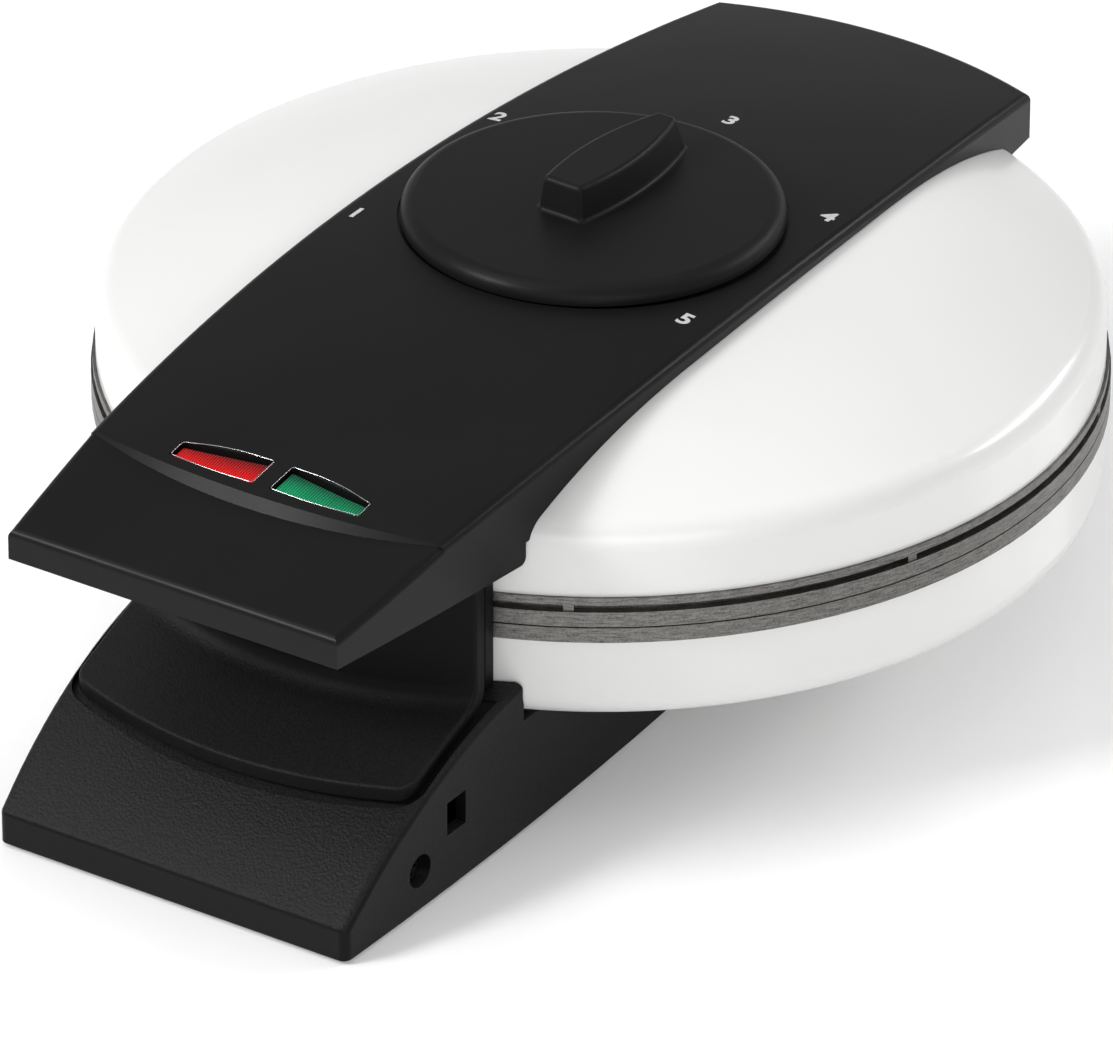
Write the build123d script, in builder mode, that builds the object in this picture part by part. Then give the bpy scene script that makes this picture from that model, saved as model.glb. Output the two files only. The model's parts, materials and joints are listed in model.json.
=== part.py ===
from build123d import *

import os
from math import asin, cos, degrees, radians, sin, sqrt, tan

# Stroopwafel maker: a round hinged baking iron on a black base, with an arched
# handle band over the lid, a temperature knob, two indicator lenses and a rocking latch.
# Millimetres. X is across, the handle points to -Y, Z is up and the feet stand on Z = 0.
# Radii, and all Y values named here, are measured from the upright axis of the round body.

# Round body
shell_radius = 107.5
shell_wall = 0.9
ring_overhang = 1.1          # of the plates' rims past the shells
flange_overhang = 0.7
parting_z = 50.6             # between the two plates
parting_gap = 0.3
ring_height = 3.45
groove_height = 1.4
groove_depth = 2.0
flange_height = 1.7
spigot_height = 3.0          # rim of a plate that locates its shell
spigot_width = 3.3
spigot_gap = 0.3
plate_thickness = 4.6
bowl_z = 27.3                # underside of the lower shell
bowl_fillet = 6.0
wire_hole = 9.0

# Dome of the lid
dome_apex = 86.5
dome_radius = 900.0
shoulder_width = 45.5        # from the start of the shoulder's bend to the shell's side
shoulder_radius = 120.0
rim_fillet = 6.5

# Wafer pattern
wafer_radius = 74.0
wafer_pitch = 7.6
wafer_groove_width = 3.0
wafer_groove_depth = 1.5
channel_radius = 84.0        # overflow channel round the wafer
channel_width = 4.0
channel_depth = 1.5
channel_lean = 45
standoff_count = 9
standoff_width = 2.2
standoff_turn = -60.5

# Heating and its carriers
element_radius = 58.0
element_tube = 3.3
element_sweep = 310.0
element_leg = 7.0
stud_radius = 4.0
stud_x = 40.0
stud_y = 62.0

# Handle band
band_reach = 52.0            # past the shell, in front
band_rear_reach = 8.7
band_front_half = 40.5
band_widest_y = -25.0
band_widest_half = 47.7
band_rear_half = 40.3
arch_top = 90.5
arch_peak_y = -13.0
arch_drop = 12.28            # from the peak down to the front end
arch_spare = 1.4             # degrees that the arch runs past the front end
crown_drop = 1.8             # over half of the widest width
band_wall = 2.3
band_edge_fillet = 1.8
band_seat_gap = 0.2
handle_lap = 9.2             # of the deep front part over the shell
handle_corner = 1.6
grip_front_z = 68.4
grip_rear_z = 65.1
tail_z = 70.0                # lower edge of the band behind the body
lip_front_z = 75.2
lip_rise = 10.5              # degrees
lip_length = 26.9            # to the middle of the crease
crease_radius = 139.0
crease_slope = 48.0          # degrees from upright
cover_way = 4.2              # between the undercover and the latch's wall
cover_thickness = 3.2

# Indicator windows; their four lengths count back from the middle of the crease
window_inner_x = 1.9
window_outer_x = 23.5
window_inner_front = 5.0
window_inner_rear = 14.1
window_outer_front = 6.0
window_outer_rear = 11.4
window_bow = 0.4
window_corner = 0.8
bezel_width = 0.55
bezel_depth = 0.1            # under the band's surface
lens_gap = 0.15
lens_recess = 1.2
lens_flange = 1.2
lens_flange_thickness = 1.0
lamp_radius = 2.4
lamp_height = 2.6
board_half = 30.0
board_length = 10.2
board_corner = 1.0
board_z = 75.4
board_thickness = 1.6
board_post = 27.0
post_radius = 2.2

# Knob
knob_y = -3.0
knob_radius = 41.0
knob_z = 89.9
knob_side = 0.5
knob_rim_round = 3.4
knob_dome = 0.8
knob_gap = 0.6
knob_seat_z = 88.8
knob_floor = 1.9
pointer_turn = -3.0          # degrees, anticlockwise from straight back
pointer_front = -12.6        # the three pointer lengths count from the knob's axis
pointer_rear = 30.5
pointer_middle = 5.0
pointer_front_half = 6.3
pointer_middle_half = 8.0
pointer_rear_half = 3.8
pointer_top = 102.3
pointer_front_lean = 1.2     # how far each face leans in over the pointer's height
pointer_side_lean = 1.6
pointer_rear_lean = 4.0
pointer_corner = 2.0
pointer_round = 1.2
pointer_foot_round = 1.0
spindle_radius = 3.0
running_gap = 0.06

# Base
front_overhang = 54.0        # of the base's front face past the shell
base_widest_y = -100.0
base_widest_half = 44.85
base_side_radius = 1280.0
base_corner = 2.0
base_wall = 2.5
base_edge_fillet = 1.8
base_lift = 1.0              # the feet stand this far proud
front_face_z = 8.3
slope_length = 22.5          # from the front face to the slope's middle point
slope_middle_z = 24.2
slope_lap = 9.5              # of the slope under the bowl
slope_rear_z = 36.6
slope_skin = 6.5
bowl_clearance = 0.6
guard_gap = 1.0              # between the plates' rims and the heat guard
guard_thickness = 2.7
guard_half = 40.0
guard_top_z = 64.0
base_cover_thickness = 3.0
base_cover_gap = 0.2

# Hinge
hinge_standoff = 7.0         # from the shell's side to the pin
hinge_z = 62.5
knuckle_radius = 6.0
tower_standoff = 1.9
ear_inner_half = 17.0
lug_half = 16.5
lug_standoff = 1.7
lug_back = 0.3               # past the pin
hinge_pin_radius = 2.0
hinge_pin_half = 24.8
ear_gap = 1.5

# Latch
latch_guard_way = 3.9        # room in which the latch's wall swings
latch_thickness = 2.8
latch_half = 42.0
latch_top_z = 66.2
flare_reach = 23.1           # of the flare past the wall
flare_front_z = 26.4
flare_rise = 20.3            # degrees
flare_corner = 4.5
latch_bend = 5.0
latch_round = 0.9
latch_gap = 1.6
latch_under_gap = 1.6
pivot_way = 3.8              # from the wall's outside to the pivot
latch_z = 17.5
arm_x = 27.0
arm_width = 6.0
arm_eye = 5.0
arm_front = 4.2              # both measured from the pivot
arm_rear = 4.0
slot_gap = 0.9
latch_pin_radius = 2.0
latch_pin_half = 39.0
boss_plate_x = 34.0
boss_plate_width = 4.0
boss_plate_length = 9.0
side_window_width = 6.7
side_window_height = 7.75
hook_half = 12.0
hook_front_way = 1.9         # of the hook's post past the wall's outside
hook_thickness = 2.6
hook_nose = 3.8
hook_foot_z = 58.0
hook_under_z = 70.4
hook_top_z = 72.8
catch_gap = 0.4
catch_width = 3.5
catch_height = 2.4
catch_rise = 1.3             # free height between the catch bar and the hook
catch_half = 20.0
catch_leg = 2.5

# Fasteners, feet and wiring
shank_radius = 1.5
head_radius = 2.9
head_height = 1.5
boss_radius = 4.0
shank_gap = 0.08
seat_gap = 0.2
side_screw_way = 13.0        # in front of the latch's pivot
side_screw_z = 10.1
side_recess_radius = 3.7
side_recess_depth = 4.0
side_boss_radius = 5.5
side_boss_length = 9.0
foot_radius = 8.0
foot_height = 2.6
foot_round = 0.4
foot_front_x = 31.0
foot_rear_x = 17.0
foot_inset = 15.5            # from the base's front face, and from the shell's side
base_screw_front_x = 33.0
base_screw_rear_x = 26.0
base_screw_front_inset = 3.5     # from the shell's side
base_screw_rear_inset = 37.5
cover_screw_front_x = 33.0
cover_screw_rear_x = 35.0
cover_screw_front_inset = 9.5    # from the band's front
cover_screw_rear_inset = 6.8     # from the undercover's rear edge
band_screw_front_x = 30.0
band_screw_rear_x = 28.0
band_screw_front_inset = 15.5    # from the shell's side
band_screw_rear_inset = 14.5
base_screw_reach = 12.0
cover_screw_reach = 5.0
band_screw_reach = 3.5
gland_z = 14.0
gland_radius = 7.0
gland_length = 6.0
cord_radius = 3.2
thermostat_size = 26.0
thermostat_corner = 2.0
thermostat_top = 80.0
thermostat_height = 10.0
strap_thickness = 1.3
strap_width = 16.0
strap_foot = 9.0
terminal_length = 30.0
terminal_width = 16.0
terminal_height = 11.0
terminal_y = 40.0

# Worked out from the sizes above: the body and the base
ring_radius = shell_radius + ring_overhang
flange_radius = shell_radius + flange_overhang
shoulder_start = shell_radius - shoulder_width
front_reach = shell_radius + front_overhang
hinge_reach = shell_radius + hinge_standoff
rear_reach = hinge_reach + knuckle_radius
tower_front_y = shell_radius + tower_standoff
lug_front_y = shell_radius + lug_standoff
lug_rear_y = hinge_reach + lug_back
slope_middle_y = slope_length - front_reach
slope_rear_y = slope_lap - shell_radius
axis_y = (front_reach - rear_reach) / 2
margin = 60.0                # how far tool bodies run past the part
body_axis = Axis((0, axis_y, 0), (0, 0, 1))
radial = Plane(origin=(0, axis_y, 0), x_dir=(1, 0, 0), z_dir=(0, -1, 0))
side = Plane(origin=(0, axis_y, 0), x_dir=(0, 1, 0), z_dir=(1, 0, 0))
lower_top = parting_z - parting_gap / 2
lower_ring_z = lower_top - ring_height
lower_back = lower_top - plate_thickness
upper_bottom = parting_z + parting_gap / 2
upper_ring_z = upper_bottom + ring_height
upper_back = upper_bottom + plate_thickness
flange_z = upper_ring_z + groove_height
flange_top = flange_z + flange_height
spigot_radius = shell_radius - shell_wall - spigot_gap
shoulder_angle = degrees(asin(shoulder_start / dome_radius))
bowl_seat_z = bowl_z - seat_gap
base_ceiling = bowl_seat_z - base_wall
base_cover_top = base_lift + base_cover_thickness
guard_inner_radius = ring_radius + guard_gap

# Worked out: the latch
latch_wall_radius = guard_inner_radius + guard_thickness + latch_guard_way + latch_thickness
latch_inner_radius = latch_wall_radius - latch_thickness
flare_radius = latch_wall_radius + flare_reach
flare_drop = latch_thickness / cos(radians(flare_rise))
latch_y = -latch_wall_radius - pivot_way
arm_front_y = latch_y - arm_front
arm_rear_y = latch_y + arm_rear
side_screw_y = latch_y - side_screw_way
hook_front_y = -latch_wall_radius - hook_front_way
hook_back_y = hook_front_y + hook_thickness
hook_tip_y = hook_back_y + hook_nose
catch_top = hook_under_z - catch_rise
catch_front_y = hook_tip_y + catch_gap

# Worked out: the band, its windows and the knob
band_front_y = -shell_radius - band_reach
band_rear_radius = shell_radius + band_rear_reach
handle_rear_y = handle_lap - shell_radius
arch_length = arch_peak_y - band_front_y
arch_radius = (arch_length**2 + arch_drop**2) / (2 * arch_drop)
arch_sweep = degrees(asin(arch_length / arch_radius)) + arch_spare
arch_centre_z = arch_top - arch_radius
arch_axis = Axis((0, axis_y + arch_peak_y, arch_centre_z), (-1, 0, 0))
crown_radius = band_widest_half**2 / (2 * crown_drop)
crease_middle_y = band_front_y + lip_length
cover_rear_y = -latch_wall_radius - cover_way
lip_plane = Plane(
    origin=(0, axis_y + band_front_y, lip_front_z),
    x_dir=(1, 0, 0),
    z_dir=(0, -sin(radians(lip_rise)), cos(radians(lip_rise))),
)
grip_slope = (grip_rear_z - grip_front_z) / (handle_rear_y - band_front_y)
board_y = crease_middle_y + (window_inner_front + window_inner_rear) / 2
lens_flange_top = band_wall + seat_gap
knob_axis = Axis((0, axis_y + knob_y, 0), (0, 0, 1))
knob_section = Plane(origin=(0, axis_y + knob_y, 0), x_dir=(1, 0, 0), z_dir=(0, -1, 0))

# Worked out: places of the feet and screws
foot_places = [
    (-foot_front_x, foot_inset - front_reach),
    (foot_front_x, foot_inset - front_reach),
    (-foot_rear_x, shell_radius - foot_inset),
    (foot_rear_x, shell_radius - foot_inset),
]
base_screw_places = [
    (-base_screw_front_x, base_screw_front_inset - shell_radius),
    (base_screw_front_x, base_screw_front_inset - shell_radius),
    (-base_screw_rear_x, shell_radius - base_screw_rear_inset),
    (base_screw_rear_x, shell_radius - base_screw_rear_inset),
]
cover_screw_places = [
    (-cover_screw_front_x, band_front_y + cover_screw_front_inset),
    (cover_screw_front_x, band_front_y + cover_screw_front_inset),
    (-cover_screw_rear_x, cover_rear_y - cover_screw_rear_inset),
    (cover_screw_rear_x, cover_rear_y - cover_screw_rear_inset),
]
band_screw_places = [
    (-band_screw_front_x, band_screw_front_inset - shell_radius),
    (band_screw_front_x, band_screw_front_inset - shell_radius),
    (-band_screw_rear_x, shell_radius - band_screw_rear_inset),
    (band_screw_rear_x, shell_radius - band_screw_rear_inset),
]


def plan(height):
    # level plane whose origin is on the body's axis
    return Plane(origin=(0, axis_y, height))


def across(x):
    # upright plane along the machine, at x: local x is Y and local y is Z
    return Plane(origin=(x, axis_y, 0), x_dir=(0, 1, 0), z_dir=(1, 0, 0))


def arch_z(x, y):
    # height of the band's top surface
    radius = arch_radius - x * x / (2 * crown_radius)
    return arch_centre_z + sqrt(radius**2 - (y - arch_peak_y) ** 2)


def dome_z(radius):
    # height of the lid's outer surface inside its rounded rim
    if radius <= shoulder_start:
        return dome_apex - dome_radius + sqrt(dome_radius**2 - radius**2)
    lean = sin(radians(shoulder_angle)) + (radius - shoulder_start) / shoulder_radius
    fall = shoulder_radius * (cos(radians(shoulder_angle)) - sqrt(1 - lean**2))
    return dome_z(shoulder_start) - fall


def lip_z(y):
    # height of the lip's flat surface
    return lip_front_z + (y - band_front_y) * tan(radians(lip_rise))


def grip_z(y):
    # height of the handle's flat underside
    return grip_front_z + (y - band_front_y) * grip_slope


def dome_profile(grow):
    # half section of all that lies under the lid's outer surface, moved outwards by grow
    reach = shoulder_radius + grow
    joint_r = (dome_radius + grow) * sin(radians(shoulder_angle))
    edge = shell_radius + grow
    last_angle = degrees(asin(sin(radians(shoulder_angle)) + (edge - joint_r) / reach))
    with BuildSketch(radial) as profile:
        with BuildLine():
            top = JernArc((0, dome_apex + grow), (1, 0), dome_radius + grow, -shoulder_angle)
            bend = JernArc(top @ 1, top % 1, reach, shoulder_angle - last_angle)
            Polyline(bend @ 1, (edge, flange_top), (0, flange_top), (0, dome_apex + grow))
        make_face()
        rim = profile.vertices().sort_by(Axis.X)[-2:].sort_by(Axis.Y)[-1]
        fillet(rim, rim_fillet + grow)
    return profile.sketch


def bowl_profile(grow):
    # half section of the bowl, moved outwards by grow
    width = shell_radius + grow
    height = lower_ring_z - bowl_z + grow
    with BuildSketch(radial) as profile:
        with Locations((0, bowl_z - grow)):
            Rectangle(width, height, align=(Align.MIN, Align.MIN))
        fillet(profile.vertices().group_by(Axis.Y)[0].sort_by(Axis.X)[-1], bowl_fillet + grow)
    return profile.sketch


def arch_slab(top_depth, bottom_depth):
    # slab that follows the arched and crowned top, between two depths under it
    lean = radians(arch_sweep)
    start = Plane(
        origin=arch_axis.position,
        x_dir=(1, 0, 0),
        z_dir=(0, -cos(lean), -sin(lean)),
    )
    drop = margin**2 / (2 * crown_radius)
    top = arch_radius - top_depth
    bottom = arch_radius - bottom_depth
    with BuildPart() as slab:
        with BuildSketch(start):
            with BuildLine():
                ThreePointArc((-margin, top - drop), (0, top), (margin, top - drop))
                Line((margin, top - drop), (margin, bottom - drop))
                ThreePointArc((margin, bottom - drop), (0, bottom), (-margin, bottom - drop))
                Line((-margin, bottom - drop), (-margin, top - drop))
            make_face()
        revolve(axis=arch_axis, revolution_arc=2 * arch_sweep)
    return slab.part


def band_outline(inset):
    # plan of the handle band: waisted sides, straight front, round back
    rear_y = sqrt(band_rear_radius**2 - band_rear_half**2)
    with BuildSketch(plan(0)) as outline:
        with BuildLine():
            Line((-band_front_half, band_front_y), (band_front_half, band_front_y))
            ThreePointArc(
                (band_front_half, band_front_y),
                (band_widest_half, band_widest_y),
                (band_rear_half, rear_y),
            )
            ThreePointArc(
                (band_rear_half, rear_y), (0, band_rear_radius), (-band_rear_half, rear_y)
            )
            ThreePointArc(
                (-band_rear_half, rear_y),
                (-band_widest_half, band_widest_y),
                (-band_front_half, band_front_y),
            )
        make_face()
        if inset:
            offset(amount=-inset)
    return outline.sketch


def base_outline(inset):
    # plan of the base: bowed sides that narrow to the hinge
    def half(y):
        return base_widest_half - (y - base_widest_y) ** 2 / (2 * base_side_radius)

    front = (half(-front_reach), -front_reach)
    rear = (half(rear_reach), rear_reach)
    with BuildSketch(plan(0)) as outline:
        with BuildLine():
            Line((-front[0], front[1]), front)
            ThreePointArc(front, (base_widest_half, base_widest_y), rear)
            Line(rear, (-rear[0], rear[1]))
            ThreePointArc((-rear[0], rear[1]), (-base_widest_half, base_widest_y), (-front[0], front[1]))
        make_face()
        fillet(outline.vertices(), base_corner)
        if inset:
            offset(amount=-inset)
    return outline.sketch


def window_outline(turn, grow):
    # one indicator window: turn is -1 on the left and 1 on the right
    inner_front = (turn * window_inner_x, crease_middle_y + window_inner_front)
    inner_rear = (turn * window_inner_x, crease_middle_y + window_inner_rear)
    outer_front = (turn * window_outer_x, crease_middle_y + window_outer_front)
    outer_rear = (turn * window_outer_x, crease_middle_y + window_outer_rear)
    middle_x = turn * (window_inner_x + window_outer_x) / 2
    front_y = (inner_front[1] + outer_front[1]) / 2 - window_bow
    rear_y = (inner_rear[1] + outer_rear[1]) / 2 - window_bow
    with BuildSketch(plan(0)) as outline:
        with BuildLine():
            ThreePointArc(inner_front, (middle_x, front_y), outer_front)
            Line(outer_front, outer_rear)
            ThreePointArc(outer_rear, (middle_x, rear_y), inner_rear)
            Line(inner_rear, inner_front)
        make_face()
        fillet(outline.vertices(), window_corner)
        if grow:
            offset(amount=grow)
    return outline.sketch


def flare_z(y):
    # height of the flare's flat top
    return flare_front_z + (y + flare_radius) * tan(radians(flare_rise))


def latch_plan(gap, reach):
    # plan of the latch plate out to a reach, open round the heat guard
    with BuildSketch(plan(0)) as outline:
        Circle(reach + gap)
        with Locations((0, -reach)):
            Rectangle(2 * (latch_half + gap), reach, mode=Mode.INTERSECT)
        if reach == flare_radius:
            fillet(outline.vertices().group_by(Axis.Y)[0], flare_corner + gap)
        Circle(latch_inner_radius - gap, mode=Mode.SUBTRACT)
    return outline.sketch


def latch_wall(gap, under):
    # upright wall, from the flare's underside up
    under_drop = flare_drop + under
    with BuildPart() as wall:
        extrude(latch_plan(gap, latch_wall_radius), amount=latch_top_z + gap)
        with BuildSketch(side):
            with BuildLine():
                Polyline(
                    (-front_reach, flare_z(-front_reach) - under_drop),
                    (0, flare_z(0) - under_drop),
                    (0, arch_top),
                    (-front_reach, arch_top),
                    close=True,
                )
            make_face()
        extrude(amount=margin, both=True, mode=Mode.INTERSECT)
    return wall.part


def latch_plate(gap, under):
    # wall and flare, grown by a gap all round and by another on their underside
    under_drop = flare_drop + under
    with BuildPart() as plate:
        with BuildSketch(side):
            with BuildLine():
                Polyline(
                    (-front_reach, flare_z(-front_reach) - under_drop),
                    (0, flare_z(0) - under_drop),
                    (0, flare_z(0) + gap),
                    (-front_reach, flare_z(-front_reach) + gap),
                    close=True,
                )
            make_face()
        extrude(amount=margin, both=True)
        extrude(latch_plan(gap, flare_radius), amount=arch_top, mode=Mode.INTERSECT)
        add(latch_wall(gap, under))
    return plate.part


def screws(places, seat, reach):
    # at each place a head that hangs under the seat, and its shank above
    with BuildPart() as group:
        with BuildSketch(plan(seat)):
            with Locations(*places):
                Circle(head_radius)
        extrude(amount=-head_height)
        with BuildSketch(plan(seat)):
            with Locations(*places):
                Circle(shank_radius)
        extrude(amount=reach)
    return group.part


def wafer_grooves(face_z):
    # crossed V grooves within the wafer's circle, opening upwards at face_z
    count = int(2 * wafer_radius / wafer_pitch)
    with BuildPart() as grooves:
        for section in (radial, side):
            with BuildSketch(Plane((0, axis_y, face_z), section.x_dir, section.z_dir)):
                with GridLocations(wafer_pitch, 1, count, 1):
                    Polygon(
                        (-wafer_groove_width / 2, 0),
                        (0, -wafer_groove_depth),
                        (wafer_groove_width / 2, 0),
                        align=None,
                    )
            extrude(amount=wafer_radius, both=True)
        with BuildSketch(plan(face_z - wafer_groove_depth)):
            Circle(wafer_radius)
        extrude(amount=2 * wafer_groove_depth, mode=Mode.INTERSECT)
    return grooves.part


os.makedirs("parts", exist_ok=True)

# Bowl: lower shell, its plate, the heating element and the studs between plate and base

with BuildPart() as lower_shell:
    revolve(bowl_profile(0), axis=body_axis)
    hollow = lower_shell.faces().sort_by(Axis.Z)[-1]
    offset(amount=-shell_wall, openings=hollow)
    with BuildSketch(plan(bowl_z)):
        Circle(wire_hole)
    extrude(amount=shell_wall, mode=Mode.SUBTRACT)
lower_shell.part.label = "lower_shell"
export_step(lower_shell.part, "parts/lower_shell.step")

with BuildPart() as lower_baking_plate:
    with BuildSketch(plan(lower_ring_z)):
        Circle(ring_radius)
    extrude(amount=ring_height)
    with BuildSketch(plan(lower_ring_z - spigot_height)):
        Circle(spigot_radius)
    extrude(amount=spigot_height)
    with BuildSketch(plan(lower_back)):
        Circle(spigot_radius - spigot_width)
    extrude(amount=-spigot_height, mode=Mode.SUBTRACT)
    with BuildSketch(radial):
        with Locations((channel_radius, lower_top)):
            Trapezoid(
                channel_width,
                channel_depth,
                channel_lean,
                rotation=180,
                align=(Align.CENTER, Align.MIN),
            )
    revolve(axis=body_axis, mode=Mode.SUBTRACT)
    add(wafer_grooves(lower_top), mode=Mode.SUBTRACT)
lower_baking_plate.part.label = "lower_baking_plate"
export_step(lower_baking_plate.part, "parts/lower_baking_plate.step")


def element(back, up):
    # round heater tube that lies on a plate's back, with a leg at each end; up is 1 or -1
    level = back + up * (element_tube + seat_gap)
    start = Plane(origin=(0, axis_y, level), x_dir=(0, -1, 0), z_dir=(1, 0, 0))
    end_turn = radians(-90 + element_sweep)
    first = (0, -element_radius)
    last = (element_radius * cos(end_turn), element_radius * sin(end_turn))
    with BuildPart() as tube:
        with BuildSketch(start):
            with Locations((element_radius, 0)):
                Circle(element_tube)
        revolve(axis=body_axis, revolution_arc=element_sweep)
        with BuildSketch(plan(level)):
            with Locations(first, last):
                Circle(element_tube)
        extrude(amount=up * element_leg)
    return tube.part


with BuildPart() as lower_heating_element:
    add(element(lower_back, -1))
lower_heating_element.part.label = "lower_heating_element"
export_step(lower_heating_element.part, "parts/lower_heating_element.step")

with BuildPart() as lower_plate_studs:
    with BuildSketch(plan(bowl_z + shell_wall)):
        with GridLocations(2 * stud_x, 2 * stud_y, 2, 2):
            Circle(stud_radius)
    extrude(amount=lower_back - bowl_z - shell_wall)
lower_plate_studs.part.label = "lower_plate_studs"
export_step(lower_plate_studs.part, "parts/lower_plate_studs.step")

# Lid: domed shell, its plate, the heating element and the studs

with BuildPart() as upper_shell:
    revolve(dome_profile(0), axis=body_axis)
    revolve(dome_profile(-shell_wall), axis=body_axis, mode=Mode.SUBTRACT)
    with BuildSketch(plan(flange_top)):
        with Locations((0, knob_y)):
            Circle(spindle_radius + seat_gap)
        with Locations(*band_screw_places):
            Circle(shank_radius + seat_gap)
    extrude(amount=dome_apex, mode=Mode.SUBTRACT)
upper_shell.part.label = "upper_shell"
export_step(upper_shell.part, "parts/upper_shell.step")

with BuildPart() as upper_baking_plate:
    with BuildSketch(plan(upper_bottom)):
        Circle(ring_radius)
    extrude(amount=ring_height)
    with BuildSketch(plan(upper_ring_z)):
        Circle(ring_radius - groove_depth)
        with PolarLocations(ring_radius - groove_depth, standoff_count, start_angle=standoff_turn):
            Rectangle(2 * (flange_radius - ring_radius + groove_depth), standoff_width)
    extrude(amount=groove_height)
    with BuildSketch(plan(flange_z)):
        Circle(flange_radius)
    extrude(amount=flange_height)
    with BuildSketch(plan(flange_top)):
        Circle(spigot_radius)
    extrude(amount=spigot_height)
    with BuildSketch(plan(upper_back)):
        Circle(spigot_radius - spigot_width)
    extrude(amount=flange_top + spigot_height - upper_back, mode=Mode.SUBTRACT)
    with BuildSketch(radial):
        with Locations((channel_radius, upper_bottom)):
            Trapezoid(channel_width, channel_depth, channel_lean, align=(Align.CENTER, Align.MIN))
    revolve(axis=body_axis, mode=Mode.SUBTRACT)
    add(mirror(wafer_grooves(upper_bottom), about=Plane.XY.offset(upper_bottom), mode=Mode.PRIVATE),
        mode=Mode.SUBTRACT)
upper_baking_plate.part.label = "upper_baking_plate"
export_step(upper_baking_plate.part, "parts/upper_baking_plate.step")

with BuildPart() as upper_heating_element:
    add(element(upper_back, 1))
upper_heating_element.part.label = "upper_heating_element"
export_step(upper_heating_element.part, "parts/upper_heating_element.step")

stud_top_z = dome_z(sqrt(stud_x**2 + stud_y**2) + stud_radius) - shell_wall - seat_gap
with BuildPart() as upper_plate_studs:
    with BuildSketch(plan(upper_back)):
        with GridLocations(2 * stud_x, 2 * stud_y, 2, 2):
            Circle(stud_radius)
    extrude(amount=stud_top_z - upper_back)
upper_plate_studs.part.label = "upper_plate_studs"
export_step(upper_plate_studs.part, "parts/upper_plate_studs.step")

# Handle band: an arched, crowned and waisted hollow shell over the lid

with BuildPart() as lip_form:
    extrude(band_outline(0), amount=arch_top + margin)
    split(bisect_by=lip_plane, keep=Keep.BOTTOM)
    fillet(lip_form.faces().sort_by(Axis.Z)[-1].edges(), band_edge_fillet)


def lip_region(height):
    # all in front of the crease, at a height over the lip's plane
    half = band_widest_half + band_wall
    middle = (crease_middle_y - band_front_y) / cos(radians(lip_rise))
    middle += max(height, 0) * tan(radians(crease_slope))
    end = middle + crease_radius - sqrt(crease_radius**2 - half**2)
    with BuildSketch(lip_plane.offset(height)) as region:
        with BuildLine():
            ThreePointArc((-half, end), (0, middle), (half, end))
            Polyline((half, end), (half, -margin), (-half, -margin), (-half, end))
        make_face()
    return region.sketch


with BuildPart() as lip_cut:
    loft([lip_region(0), lip_region(2 * band_wall)], ruled=True)
    extrude(lip_region(0), amount=-2 * band_edge_fillet)
    add(lip_form, mode=Mode.SUBTRACT)

with BuildPart() as band_core:
    add(arch_slab(band_wall, margin))
    extrude(band_outline(band_wall), amount=arch_top, mode=Mode.INTERSECT)
    with Locations((0, 0, -band_wall)):
        add(lip_cut, mode=Mode.SUBTRACT)
    with BuildSketch(plan(knob_seat_z - knob_floor)):
        with Locations((0, knob_y)):
            Circle(knob_radius + knob_gap + band_wall)
    extrude(amount=margin, mode=Mode.SUBTRACT)

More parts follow.
